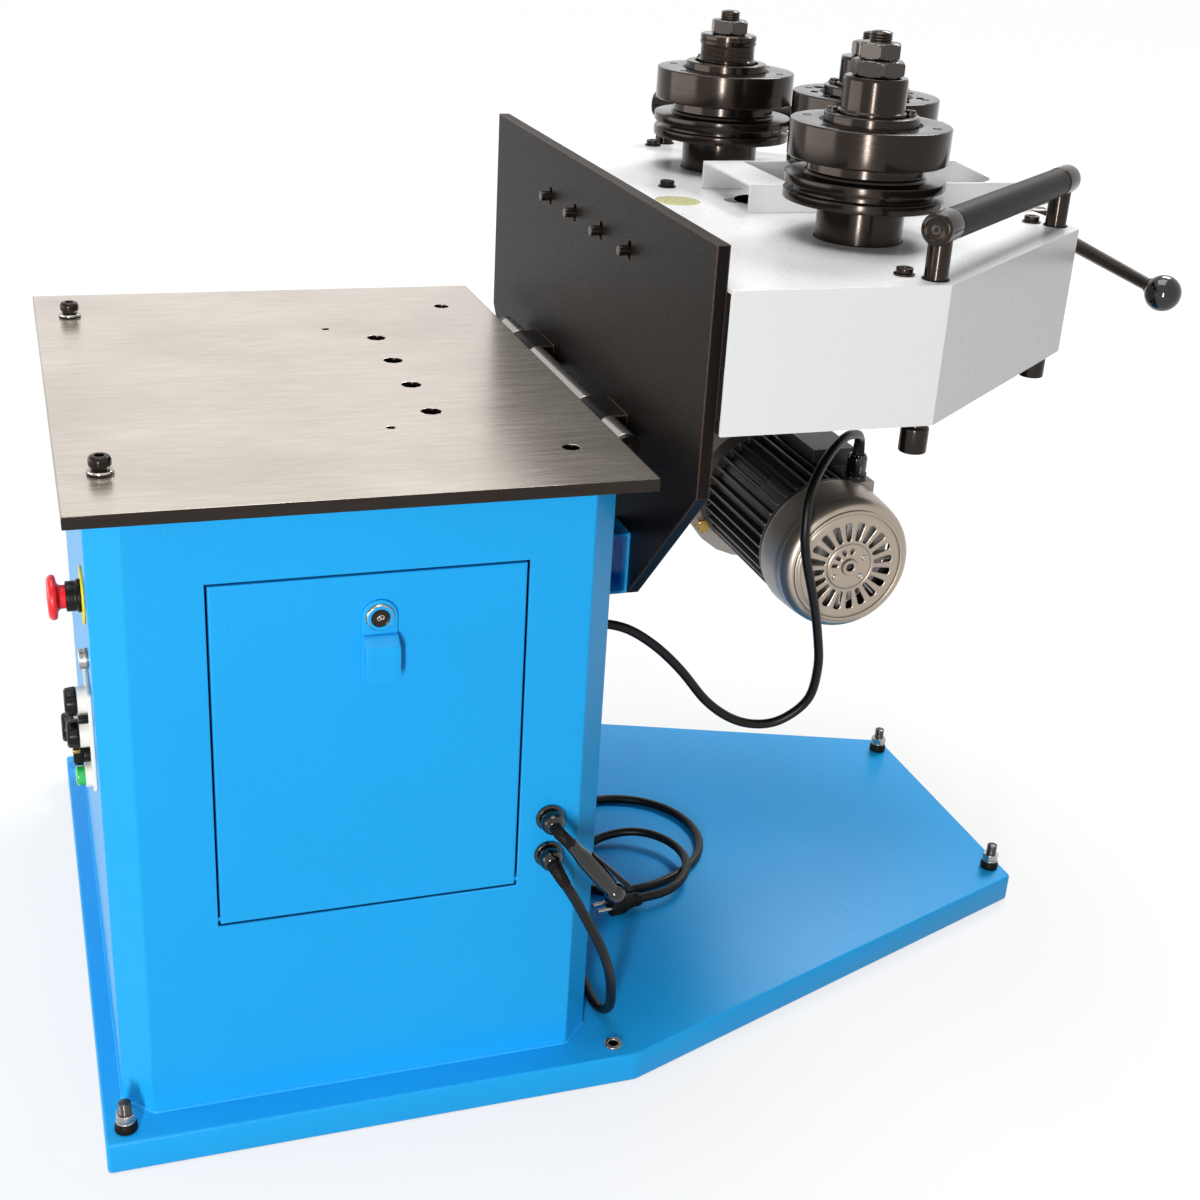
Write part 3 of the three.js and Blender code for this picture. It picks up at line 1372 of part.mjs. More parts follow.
function addCords() {
  const face = -cabinetHalfY;
  [['upper', glandUpperZ], ['lower', glandLowerZ]].forEach(([name, z]) =>
    add(`gland_${name}`, alongMinusY(turned([
      [0, 0], [glandRing, 0], [glandRing, glandRingDepth],
      [glandBall, glandRingDepth + bevel], [glandBall, glandLength - glandRingDepth],
      [glandBall - sheet, glandLength - bevel], [cordRadius + bevel, glandLength],
      [0, glandLength],
    ])).translate(glandX, face, z), blackPlastic()));

  const start = new THREE.Vector3(...couplerStart);
  const end = new THREE.Vector3(...couplerEnd);
  const length = start.distanceTo(end);
  const coupler = turned([
    [0, 0], [couplerNeck, 0], [couplerNeck, length / 5], [couplerRadius, length / 3],
    [couplerRadius, length - couplerRadius], [couplerNeck, length - bevel / 2], [0, length],
  ]);
  const aim = new THREE.Quaternion().setFromUnitVectors(
    new THREE.Vector3(0, 0, 1), end.clone().sub(start).normalize());
  const place = (geometry) =>
    geometry.rotateZ(Math.PI).applyQuaternion(aim).translate(...couplerStart);
  const pivotAt = length / 3;
  const half = leverWidth / 2;
  const low = pivotAt - leverThickness;
  const high = pivotAt + leverThickness;
  const eyes = [-half - gap - sheet, half + gap].map((y) =>
    block(leverLift - bevel, leverLift + leverThickness, y, y + sheet, low, high));
  const bridge = block(0, leverLift - gap, -half - gap - sheet, half + gap + sheet, low, high);
  const elbow = cord(elbowPoints, couplerNeck - gap, elbowSteps);
  add('coupler_body', join(place(join(coupler, bridge, eyes)), elbow), blackPlastic());
  const lever = join(
    block(leverLift, leverLift + leverThickness, -half, half, pivotAt - gap, length),
    block(leverLift, leverLift + leverThickness + bevel, -half, half,
      length - leverThickness * bevel, length),
  );
  add('coupler_lever', place(lever), blackPlastic());

  add('motor_cable', cord(motorCablePoints, cordRadius, cableSteps), blackRubber());
  const path = coilPath();
  console.log(`coil self-gap ${selfGap(path).toFixed(2)} mm`);
  const first = path[0];
  const leadPoints = [...mainsPoints, [first.x, first.y - 4 * cordRadius, first.z],
    [first.x, first.y - gap, first.z]];
  add('mains_lead', cord(leadPoints, cordRadius, leadSteps), blackRubber());
  add('mains_coil', sweep(path, cordRadius, coilSides), blackRubber());
  addPlug(path.at(-1), path.at(-2));
}

// Plug: a tapered body with two round pins
function addPlug(tip, before) {
  const along = tip.clone().sub(before).setZ(0).normalize();
  const aim = new THREE.Quaternion().setFromUnitVectors(new THREE.Vector3(0, 0, 1), along);
  const body = turned([
    [0, 0], [cordRadius + bevel, 0], [plugNeck, plugSleeve], [plugRadius, plugSleeve + plugNeck / 2],
    [plugRadius, plugLength], [0, plugLength],
  ]);
  const pins = [-1, 1].map((s) =>
    rod(pinRadius, plugLength - bevel, plugLength + pinLength, coarse)
      .translate(0, s * plugRadius / 2, 0));
  const from = tip.clone().addScaledVector(along, gap);
  add('mains_plug', join(body, pins).applyQuaternion(aim).translate(from.x, from.y, from.z),
    blackRubber());
}

// Routes chosen by hand
const fromFace = ([x, out, z]) => [x, doorFace - out, z];
const elbowPoints = [
  [177, 21.3, 311], [177, 26, 311], [179, 32, 309.4], [182.8, 35.4, 306], [187.5, 36, 301],
].map(fromFace);
const couplerStart = fromFace([186, 36, 303]);
const couplerEnd = fromFace([243, 36, 230]);
const motorCablePoints = [
  [612, -68, 560.8], [612, -68, 569], [609, -73, 580], [597, -89, 591], [567, -117, 599],
  [532, -149, 590],
  [500, -182, 567], [491, -196, 530], [496, -196, 496], [515, -190, 438], [529, -182, 390],
  [536, -176, 353], [533, -168, 310], [507, -160, 283], [479, -154, 277], [449, -150, 286],
  [418, -147, 310], [386, -144, 350], [354, -142, 382], [320, -140, 405], [285, -138, 414],
  [262, -137, 416], [247.5, -137, 416],
];
const mainsPoints = [
  [177, -363.3, 270], [177, -368, 270], [180, -374.5, 264], [188, -376, 250],
  [200, -372, 228], [216, -369, 196],
  [234, -364, 157], [246, -355, 122], [254, -342, 88], [259, -326, 58], [257, -308, 42],
  [254, -290, 40], [256, -250, 40], [264, -190, 40], [276, -120, 40], [286, -70, 40],
];

addBase();
addBaseFrame();
addCabinet();
addDoor();
addSwitchgear();
addTable();
addHinge();
addTiltPlate();
addHeadFrame();
addHeadCover();
addChannel();
addGears();
addRolls();
addSlide();
addCrank();
addHandles();
addMotorBody();
addFanCover();
addFan();
addTerminalBox();
addGearbox();
addStop();
addPanel();
addCords();

export default model;
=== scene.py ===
# %% [markdown]
# # A ring roller, dressed in Blender
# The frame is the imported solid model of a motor-driven ring roller: a cabinet on a tray, a steel
# table, a head that tilts on a hinge, three rolls, a motor and its gearbox. Every object is in
# metres, in the frame's own axes, so a piece goes where the solids say it goes.

# %% Load the frame
from math import cos, pi, radians, sin

import bmesh
import bpy
import numpy as np
from mathutils import Matrix, Vector


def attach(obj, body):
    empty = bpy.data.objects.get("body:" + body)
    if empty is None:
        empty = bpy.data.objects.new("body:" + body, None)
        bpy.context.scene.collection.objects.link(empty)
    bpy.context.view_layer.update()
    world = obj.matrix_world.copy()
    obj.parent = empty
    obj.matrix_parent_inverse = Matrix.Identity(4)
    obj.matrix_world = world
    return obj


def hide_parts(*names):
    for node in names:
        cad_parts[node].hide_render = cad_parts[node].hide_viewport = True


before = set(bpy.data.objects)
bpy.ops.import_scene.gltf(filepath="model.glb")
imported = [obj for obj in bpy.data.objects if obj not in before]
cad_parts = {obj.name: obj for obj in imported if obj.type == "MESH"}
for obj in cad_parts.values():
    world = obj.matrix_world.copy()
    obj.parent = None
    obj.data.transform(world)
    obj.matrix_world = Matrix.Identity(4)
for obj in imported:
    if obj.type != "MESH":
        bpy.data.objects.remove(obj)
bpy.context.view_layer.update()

MM = 0.001


def linked(name, data):
    """A new object of the scene with this data."""
    made = bpy.data.objects.new(name, data)
    bpy.context.scene.collection.objects.link(made)
    return made


# %% [markdown]
# ## The camera
# A photograph taken by hand stands a little crooked. The place, the aim, the roll and the focal
# length below were fitted to corners of the cabinet, the table and the head, so the same corners
# fall on the same pixels of a 1200 by 1200 picture.

# %% Camera
IMAGE = 1200
FOCAL_PIXELS = 1705.37
EYE = np.array([-0.2731, -1.6845, 1.1794])
YAW, PITCH, ROLL = radians(19.987), radians(-24.191), radians(3.535)
SENSOR = 36.0


def camera_axes():
    """Right, up and forward of a camera turned by YAW from +Y towards +X, raised by PITCH, rolled
    by ROLL."""
    forward = np.array([sin(YAW) * cos(PITCH), cos(YAW) * cos(PITCH), sin(PITCH)])
    level = np.array([cos(YAW), -sin(YAW), 0.0])
    upright = np.cross(level, forward)
    right = level * cos(ROLL) + upright * sin(ROLL)
    return right, upright * cos(ROLL) - level * sin(ROLL), forward


right, up, forward = camera_axes()
camera = linked("camera", bpy.data.cameras.new("camera"))
camera.data.sensor_width = SENSOR
camera.data.lens = FOCAL_PIXELS / IMAGE * SENSOR
camera.data.clip_end = 200
turn = Matrix(np.column_stack([right, up, -forward]).tolist()).to_4x4()
camera.matrix_world = Matrix.Translation(EYE.tolist()) @ turn
bpy.context.scene.camera = camera
print("focal length", round(camera.data.lens, 2), "mm")

# %% [markdown]
# ## Finishes
# Paint, oxide, rubber and plastic all come from one recipe: a broad noise shifts the colour a
# little, a fine noise roughens the gloss and lifts the surface by hundredths of a millimetre, and
# edges get a lighter tone, partly wear and partly painted highlight: the glint a rim catches from
# the lamps. The recipe reads Object coordinates, which are metres here.


# %% Colours and a small node helper
def tone(code):
    """Linear red, green, blue and alpha of a hex colour as it shows on a screen."""
    value = np.array([int(code[i:i + 2], 16) for i in (1, 3, 5)]) / 255
    low, high = value / 12.92, ((value + 0.055) / 1.055) ** 2.4
    return (*np.where(value <= 0.04045, low, high).tolist(), 1.0)


def feed(tree, socket, value):
    """A link when the value is another node's socket, a plain number or colour otherwise."""
    if isinstance(value, bpy.types.NodeSocket):
        tree.links.new(value, socket)
    else:
        socket.default_value = value


def new_node(tree, kind, inputs=(), **settings):
    made = tree.nodes.new(kind)
    for key, value in settings.items():
        setattr(made, key, value)
    for key, value in dict(inputs).items():
        feed(tree, made.inputs[key], value)
    return made


def any_of(tree, *sockets):
    """1 when one of the sockets is 1."""
    value = sockets[0]
    for other in sockets[1:]:
        largest = new_node(tree, "ShaderNodeMath", {0: value, 1: other}, operation="MAXIMUM")
        value = largest.outputs[0]
    return value


class Recipe:
    """The nodes of one material, with a method for each kind that the finishes need."""

    def __init__(self, name):
        self.material = bpy.data.materials.new(name)
        self.material.use_nodes = True
        self.tree = self.material.node_tree
        self.shader = self.tree.nodes["Principled BSDF"]
        self.place = self.node("ShaderNodeTexCoord").outputs["Object"]

    def node(self, kind, inputs=(), **settings):
        return new_node(self.tree, kind, inputs, **settings)

    def shade(self, inputs):
        """The shader's inputs, by name."""
        for key, value in inputs.items():
            feed(self.tree, self.shader.inputs[key], value)

    def noise(self, scale, detail=2.0, stretch=None):
        """Noise with about scale lumps in a metre, or stretched by three factors along the axes."""
        place = self.place
        if stretch:
            place = self.node("ShaderNodeMapping", {"Vector": place, "Scale": stretch}).outputs[0]
        inputs = {"Vector": place, "Scale": scale, "Detail": detail}
        return self.node("ShaderNodeTexNoise", inputs).outputs["Fac"]

    def spread(self, value, low, high, start=0.3, end=0.7):
        """A value between start and end becomes one between low and high."""
        limits = {0: value, 1: start, 2: end, 3: low, 4: high}
        return self.node("ShaderNodeMapRange", limits).outputs[0]

    def mixed(self, share, first, second):
        inputs = {0: share, 6: first, 7: second}
        return self.node("ShaderNodeMix", inputs, data_type="RGBA").outputs[2]

    def edges(self, radius, gain):
        """1 on edges and 0 on flats: how far a rounded normal leans from the true one."""
        softer = self.node("ShaderNodeBevel", {"Radius": radius}, samples=4).outputs[0]
        true = self.node("ShaderNodeNewGeometry").outputs["Normal"]
        lean = self.node("ShaderNodeVectorMath", {0: softer, 1: true}, operation="DOT_PRODUCT")
        return self.spread(lean.outputs["Value"], gain, 0.0, 0.9, 0.99)

    def bump(self, height, depth):
        """A relief of this depth in metres."""
        relief = {"Height": height, "Distance": depth, "Strength": 1.0}
        self.shade({"Normal": self.node("ShaderNodeBump", relief).outputs[0]})


def darker(colour, share):
    return (*[c * share for c in colour[:3]], 1.0)


# %% The common recipe
finishes = {}
COAT_ROUGHNESS = 0.12


def finish(name, code, rough, metal=0.0, shade=0.12, broad=7.0, grain=700.0, depth=0.00004,
           stretch=None, gloss=0.06, wear_and_glint=None, wear_and_glint_gain=0.5, wear_and_glint_width=0.0015, coat=0.0,
           specular=0.5):
    """Colour and gloss that vary by noise, a fine relief, and a lighter tone along edges: partly
    wear, partly a painted highlight.
    """
    r = Recipe(name)
    colour = tone(code)
    patches = r.spread(r.noise(broad, 4.0), 0.0, 1.0)
    base = r.mixed(patches, darker(colour, 1 - shade), colour)
    fine = r.noise(grain, 2.0, stretch)
    if stretch:
        base = r.mixed(r.spread(fine, 0.0, 0.5), base, darker(colour, 1 - 2.2 * shade))
    # the edge tone: partly wear, partly a painted highlight where rims catch the lamps
    if wear_and_glint:
        base = r.mixed(r.edges(wear_and_glint_width, wear_and_glint_gain), base, tone(wear_and_glint))
    r.shade({"Base Color": base, "Roughness": r.spread(fine, rough - gloss, rough + gloss),
             "Metallic": metal, "Specular IOR Level": specular, "Coat Weight": coat,
             "Coat Roughness": COAT_ROUGHNESS})
    r.bump(fine, depth)
    finishes[name] = r.material


# %% [markdown]
# The blue powder coat is semi-gloss with an orange peel of about two millimetres. The white one is
# glossier. The plate's black paint is coarser, and brown along its edges: partly rubbed paint,
# partly a painted highlight. Black oxide on turned steel keeps the lathe's fine rings, so its noise
# is stretched flat: dense upwards, long around. Its warm rims are a painted glint.

# %% Paints, metals and plastics
# The edge colours below are lighter tones on rims: partly wear, partly painted highlight.
finish("blue_paint", "#1EABF3", 0.34, shade=0.04, grain=420, depth=0.0003, wear_and_glint="#5CC9FC",
       wear_and_glint_gain=0.35, specular=0.2)
finish("white_paint", "#EEEEEE", 0.3, shade=0.015, grain=240, depth=0.000008, gloss=0.03,
       specular=0.3)
# brown edge tone: partly rubbed paint, partly a painted highlight along the plate's top edge
finish("black_paint", "#120E0C", 0.42, shade=0.3, grain=480, depth=0.00016, wear_and_glint="#8A6A55",
       wear_and_glint_gain=0.7, wear_and_glint_width=0.002, specular=0.09)
# warm edge tone: a painted glint, the coppery light that turned rims catch from the lamps
finish("black_oxide", "#39322D", 0.17, metal=0.8, shade=0.25, grain=55, depth=0.000006,
       stretch=(0.4, 0.4, 22), gloss=0.04, wear_and_glint="#6F5C4F", wear_and_glint_gain=0.4, wear_and_glint_width=0.0008,
       specular=0.3)
# pale edge tone: partly wear, partly a painted highlight on the nuts' chamfers
finish("nut_steel", "#4A4541", 0.26, metal=0.8, shade=0.12, grain=900, depth=0.000002, gloss=0.04,
       wear_and_glint="#9A938C", wear_and_glint_gain=0.4, wear_and_glint_width=0.0008)
# pale edge tone: partly wear, partly a painted highlight on the motor's fin edges
finish("dark_casting", "#363534", 0.34, metal=0.6, shade=0.3, grain=500, depth=0.00006,
       wear_and_glint="#A5A19C", wear_and_glint_gain=0.6, wear_and_glint_width=0.0009, specular=0.3)
finish("fan_metal", "#AEA193", 0.34, metal=0.85, shade=0.06, grain=900, depth=0.000002, gloss=0.03,
       wear_and_glint="#D8CFC4", wear_and_glint_gain=0.4, wear_and_glint_width=0.001)
finish("cast_aluminium", "#9C958D", 0.38, metal=0.75, shade=0.14, grain=900, depth=0.00003,
       wear_and_glint="#C9C1B8", wear_and_glint_gain=0.4, wear_and_glint_width=0.001)
finish("bright_steel", "#B4AFA9", 0.24, metal=0.95, shade=0.12, grain=70, depth=0.00001,
       stretch=(1, 14, 14), wear_and_glint="#E6E2DC", wear_and_glint_gain=0.3)
finish("warm_chrome", "#D2B59C", 0.14, metal=1.0, shade=0.2, broad=60, grain=500, depth=0.000004,
       gloss=0.04)
finish("brass", "#A98B4E", 0.3, metal=0.9, shade=0.2, grain=600, depth=0.00002)
finish("black_plastic", "#0C0B0A", 0.28, shade=0.2, grain=800, depth=0.00002, wear_and_glint="#35322F",
       wear_and_glint_gain=0.35, specular=0.2)
finish("gloss_black", "#0A0909", 0.1, shade=0.2, grain=300, depth=0.000002, gloss=0.03,
       specular=0.6)
finish("black_rubber", "#120F0C", 0.5, shade=0.25, grain=900, depth=0.00005, wear_and_glint="#2E2925",
       wear_and_glint_gain=0.35, specular=0.12)
# painted shade: a flat black that stands for the shade inside holes and recesses
finish("hole_black", "#050404", 0.9, shade=0.3, grain=600, depth=0.00001, specular=0.0)
finish("cord_rubber", "#0F0D0C", 0.36, shade=0.25, grain=1200, depth=0.00003, specular=0.22)
finish("white_plastic", "#EFEBE1", 0.35, shade=0.04, grain=700, depth=0.00001, specular=0.4)
finish("fan_plastic", "#B9B7B2", 0.4, shade=0.06, grain=700, depth=0.00001)
finish("pale_plastic", "#CFCE96", 0.3, shade=0.08, grain=500, depth=0.00001, coat=0.3)
finish("red_plastic", "#FB1E26", 0.28, shade=0.08, grain=700, depth=0.00001, wear_and_glint="#FF4A50")
finish("yellow_plastic", "#FFE60F", 0.35, shade=0.06, grain=700, depth=0.00001)
finish("green_plastic", "#14C458", 0.16, shade=0.15, grain=500, depth=0.000004, coat=0.6)
print(len(finishes), "finishes")

# %% [markdown]
# The table is a ground plate: fine scratches run along its length and the warm grey is nearly even,
# with a thin dark line on the rims. One noise is stretched along X for the scratches, a finer one
# for the hairs in the gloss, and a broad one drifts the tone.

# %% Ground steel
def ground_steel():
    """Metal scratched along X: streaks darken the colour a little, hairs vary the gloss."""
    r = Recipe("brushed_steel")
    streaks = r.noise(90.0, 4.0, (0.22, 1.6, 1.0))
    hair = r.noise(260.0, 2.0, (0.06, 3.0, 3.0))
    cloud = r.noise(6.0, 3.0, (1.0, 1.6, 1.0))
    base = r.mixed(r.spread(cloud, 0.0, 1.0), tone("#DED4C9"), tone("#CDC3B8"))
    base = r.mixed(r.spread(streaks, 0.0, 0.4, 0.35, 0.75), base, tone("#B5A99D"))
    base = r.mixed(r.edges(0.002, 0.9), base, tone("#3A322C"))
    r.shade({"Base Color": base, "Roughness": r.spread(hair, 0.2, 0.32), "Metallic": 0.85})
    r.bump(hair, 0.000006)
    finishes["brushed_steel"] = r.material


ground_steel()

# %% [markdown]
# ## Shapes from arrays
# Nearly every new piece is one of two surfaces. A turned piece is a profile of radius and height
# swept once round an axis. A slab is an outline moved in step by step while it rises, which rounds
# its rims. Both are a grid of points worked out as whole arrays and handed to the mesh in one go.


# %% From a grid of points to an object
def object_of(name, points, faces, sharp=35.0):
    """A mesh object from points in mm and faces: doubles merged, faces turned outwards, smooth
    under an angle."""
    mesh = bpy.data.meshes.new(name)
    mesh.from_pydata((np.reshape(points, (-1, 3)) * MM).tolist(), [], faces)
    edit = bmesh.new()
    edit.from_mesh(mesh)
    bmesh.ops.remove_doubles(edit, verts=edit.verts, dist=1e-6)
    bmesh.ops.recalc_face_normals(edit, faces=edit.faces)
    edit.to_mesh(mesh)
    edit.free()
    mesh.shade_smooth()
    mesh.set_sharp_from_angle(angle=radians(sharp))
    return linked(name, mesh)


def grid_faces(rows, columns, round_rows=False, round_columns=True):
    """Four-cornered faces between neighbours of a grid, closed round either way."""
    number = np.arange(rows * columns).reshape(rows, columns)
    down = np.roll(number, -1, axis=0) if round_rows else number[1:]
    upper = number if round_rows else number[:-1]
    corners = [upper, np.roll(upper, -1, axis=1), np.roll(down, -1, axis=1), down]
    faces = np.stack(corners, axis=-1)
    faces = faces if round_columns else faces[:, :-1]
    return faces.reshape(-1, 4).tolist()


def closed_grid(name, grid, loop=False, sharp=35.0):
    """A grid closed round its columns; its end rows are capped, or meet each other when loop is
    set."""
    rows, columns, _ = grid.shape
    faces = grid_faces(rows, columns, loop)
    if not loop:
        last = (rows - 1) * columns
        faces += [list(range(columns))[::-1], list(range(last, last + columns))]
    return object_of(name, grid, faces, sharp)


def sheet(name, points, faces, thickness):
    """An open surface that is given its thickness, half to either side."""
    made = object_of(name, points, faces, 50)
    wall = made.modifiers.new("wall", "SOLIDIFY")
    wall.thickness, wall.offset = thickness * MM, 0
    return made


# %% Rounded profiles and turned pieces
def rounded(points, radius=1.0, steps=3, closed=False):
    """Each corner of a chain of points is replaced by a short curve whose ends lie radius from
    it."""
    p = np.asarray(points, float)
    before, after = np.roll(p, 1, axis=0) - p, np.roll(p, -1, axis=0) - p
    lengths = [np.maximum(np.linalg.norm(d, axis=1, keepdims=True), 1e-9) for d in (before, after)]
    reach = np.minimum(radius, 0.45 * np.minimum(*lengths))
    start, end = p + before / lengths[0] * reach, p + after / lengths[1] * reach
    t = np.linspace(0, 1, steps + 1)[None, :, None]
    curve = (1 - t) ** 2 * start[:, None] + 2 * t * (1 - t) * p[:, None] + t ** 2 * end[:, None]
    if closed:
        return curve.reshape(-1, p.shape[1])
    return np.vstack([p[:1], curve[1:-1].reshape(-1, p.shape[1]), p[-1:]])


def axes_of(direction):
    """Two unit vectors across a direction, and the direction itself."""
    d = np.asarray(direction, float)
    d = d / np.linalg.norm(d)
    across = np.cross(d, [0, 0, 1] if abs(d[2]) < 0.9 else [1, 0, 0])
    across = across / np.linalg.norm(across)
    return across, np.cross(d, across), d


X, Y, Z = np.eye(3)


def turned(name, profile, base, direction=Z, sides=64, round_by=0.8, loop=False, ripple=None,
           sharp=35.0):
    """Points at base + radius cos(a) u + radius sin(a) v + height d, for angles a all the way
    round. ripple(angle, radius, height) may change the radius, for flutes and threads."""
    line = rounded(profile, round_by, closed=loop)
    u, v, d = axes_of(direction)
    a = np.linspace(0, 2 * pi, sides, endpoint=False)[None, :]
    radius, height = line[:, :1], line[:, 1:]
    if ripple:
        radius = ripple(a, radius, height)
    radius = radius + 0 * a
    grid = (np.asarray(base, float) + (radius * np.cos(a))[..., None] * u
            + (radius * np.sin(a))[..., None] * v + (height + 0 * a)[..., None] * d)
    return closed_grid(name, grid, loop, sharp)


def drum(name, radius, low, high, base, direction=Z, round_by=0.8, **options):
    """A turned cylinder from low to high along its axis, with rounded rims."""
    return turned(name, [[0, low], [radius, low], [radius, high], [0, high]], base, direction,
                  round_by=round_by, **options)


def ring(name, inner, outer, low, high, base, direction=Z, sides=64, round_by=0.8):
    """A turned ring from low to high along its axis, between two radii."""
    return turned(name, [[inner, low], [outer, low], [outer, high], [inner, high]], base, direction,
                  sides, round_by, loop=True)


def thread(pitch, depth):
    """Radius lowered by a saw of the height, turned by the angle: a helical thread."""
    return lambda a, r, h: r - depth * np.abs(((h / pitch - a / (2 * pi)) % 1) * 2 - 1) * (r > 2)


def flutes(count, depth):
    """Radius lowered by depth cos(count a)^2: shallow scoops all round."""
    return lambda a, r, h: r - np.where(r > 9, depth * np.cos(a * count) ** 2, 0)


def threaded(name, radius, low, high, base, direction=Z, pitch=1.5, sides=32):
    """A stud: a cylinder in many steps of height, so that the thread shows, under a low dome."""
    heights = np.linspace(low, high - radius * 0.1, int((high - low) / pitch * 4))
    profile = np.column_stack([np.full(len(heights), radius), heights])
    profile[-1, 0] = radius * 0.86
    dome = [[radius * 0.7, high - radius * 0.03], [0, high]]
    profile = np.vstack([[0, low], profile, dome])
    return turned(name, profile, base, direction, sides, 0.0, ripple=thread(pitch, radius * 0.1))


# %% Distances along a line
def travelled(line):
    """How far along the line each of its points lies."""
    return np.r_[0, np.cumsum(np.linalg.norm(np.diff(line, axis=0), axis=1))]


def along_line(line, distances):
    """The points of the line at these distances from its start."""
    return np.column_stack([np.interp(distances, travelled(line), c) for c in line.T])


# %% Hexagons and slabs
def hexagon(name, corner, low, high, base, direction=Z, spin=0.0):
    """Radius = the smaller of a hexagon's at this angle and a cone's at this height: a chamfered
    nut."""
    flat = corner * cos(pi / 6)
    spin = round(spin / (pi / 36)) * pi / 36
    steps = np.array([0, 0.04, 0.1, 0.2, 0.5, 0.8, 0.9, 0.96, 1])
    heights = low + (high - low) * steps
    profile = np.vstack([[0, low], np.column_stack([np.full(9, corner), heights]), [0, high]])

    def shape(a, r, h):
        side = flat / np.cos((a + spin) % (pi / 3) - pi / 6)
        cone = flat * 0.97 + np.minimum(h - low, high - h) * 1.7
        return np.where(r > 0, np.minimum(side, cone), 0)
    return turned(name, profile, base, direction, 72, 0.0, ripple=shape, sharp=18)


def inset(outline, distance):
    """An outline moved in: each corner goes along the bisector of its two sides."""
    p = np.asarray(outline, float)
    a, b = p - np.roll(p, 1, axis=0), np.roll(p, -1, axis=0) - p
    normals = [np.column_stack([-e[:, 1],
                                e[:, 0]]) / np.maximum(np.linalg.norm(e, axis=1, keepdims=True),
                                                       1e-9) for e in (a, b)]
    middle = normals[0] + normals[1]
    return p + distance * middle / np.maximum((middle * normals[0]).sum(1, keepdims=True), 0.2)


def slab(name, outline, low, high, round_by, axes=(X, Y, Z), base=(0, 0, 0), corner=0.0, steps=3):
    """An outline, counterclockwise, carried from low to high along the third axis; its rims are
    quarter circles: inset = r (1 - sin q), height = low + r (1 - cos q)."""
    flat = rounded(outline, corner, 5, closed=True) if corner else np.asarray(outline, float)
    q = np.linspace(0, pi / 2, steps + 1)
    insets = round_by * (1 - np.sin(q))
    rise = round_by * (1 - np.cos(q))
    levels = [*zip(insets, low + rise), *zip(insets[::-1], high - rise[::-1])]
    u, v, w = (np.asarray(axis, float) for axis in axes)
    rows = [inset(flat, d) for d, _ in levels]
    grid = np.stack([np.asarray(base, float) + row[:, :1] * u + row[:, 1:] * v + h * w
                     for row, (_, h) in zip(rows, levels)])
    return closed_grid(name, grid)


def box_outline(x0, x1, y0, y1):
    return [[x0, y0], [x1, y0], [x1, y1], [x0, y1]]


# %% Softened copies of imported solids
SMOOTH_BELOW = radians(50)
LIKE_SIZE = 0.12


def softened(name, node, width=0.8, wide=0.0, outer=None, below=None, sharp=32.0):
    """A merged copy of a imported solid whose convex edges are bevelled: wide ones where
    outer(middle) holds, then all the rest by width. below cuts away what stands higher than it. A
    face is smooth where a neighbour of like size leans less than 50 degrees; a big flat one keeps
    its own normal."""
    edit = bmesh.new()
    edit.from_mesh(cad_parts[node].data)
    bmesh.ops.remove_doubles(edit, verts=edit.verts, dist=2e-6)
    if below is not None:
        everything = edit.verts[:] + edit.edges[:] + edit.faces[:]
        cut = bmesh.ops.bisect_plane(edit, geom=everything, plane_co=(0, 0, below * MM),
                                     plane_no=(0, 0, 1), clear_outer=True)
        bmesh.ops.holes_fill(edit, edges=[e for e in cut["geom_cut"]
                                          if isinstance(e, bmesh.types.BMEdge)])
    bmesh.ops.dissolve_limit(edit, angle_limit=radians(1), verts=edit.verts, edges=edit.edges)
    for amount, rule, segments in ((wide, outer, 4), (width, None, 2)):
        chosen = [e for e in edit.edges if len(e.link_faces) == 2 and e.is_convex
                  and e.calc_face_angle(0) > radians(sharp)
                  and (rule is None or rule(*((e.verts[0].co + e.verts[1].co) / 2 / MM)))]
        if amount and chosen:
            bmesh.ops.bevel(edit, geom=chosen, offset=amount * MM, segments=segments, profile=0.6,
                            affect="EDGES", clamp_overlap=True)
    edit.normal_update()
    area = {face: face.calc_area() for face in edit.faces}
    for face in edit.faces:
        face.smooth = any(
            len(e.link_faces) == 2 and 0.01 < e.calc_face_angle(0) < SMOOTH_BELOW
            and max(area[f] for f in e.link_faces if f is not face) > LIKE_SIZE * area[face]
            for e in face.edges)
    mesh = bpy.data.meshes.new(name)
    bmesh.ops.triangulate(edit, faces=[f for f in edit.faces if len(f.verts) > 4])
    edit.to_mesh(mesh)
    edit.free()
    smooth = np.empty(len(mesh.polygons), bool)
    mesh.polygons.foreach_get("use_smooth", smooth)
    mesh.set_sharp_from_angle(angle=SMOOTH_BELOW)
    mesh.polygons.foreach_set("use_smooth", smooth)
    return linked(name, mesh)


# %% Dressing a piece
pieces = []


def dress(piece, body, slot, *replaced):
    """Material by slot, body, and the hidden solids that a piece stands for."""
    piece.data.materials.append(finishes[slot])
    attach(piece, body)
    if replaced:
        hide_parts(*replaced)
    pieces.append(piece.name)
    return piece


def keep(name, node, body, slot, width, **rules):
    """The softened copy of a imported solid, dressed in that solid's place."""
    return dress(softened(name, node, width, **rules), body, slot, node)


# %% [markdown]
# ## Cords
# Two cords hang free. The mains lead leaves its gland, drops to the tray, lies in two loops and
# ends in a plug. The motor's cable leaves the terminal box, hangs in a bow and enters the cabinet's
# side. A cord is a curve with a round section, through points that are smoothed and spaced evenly.


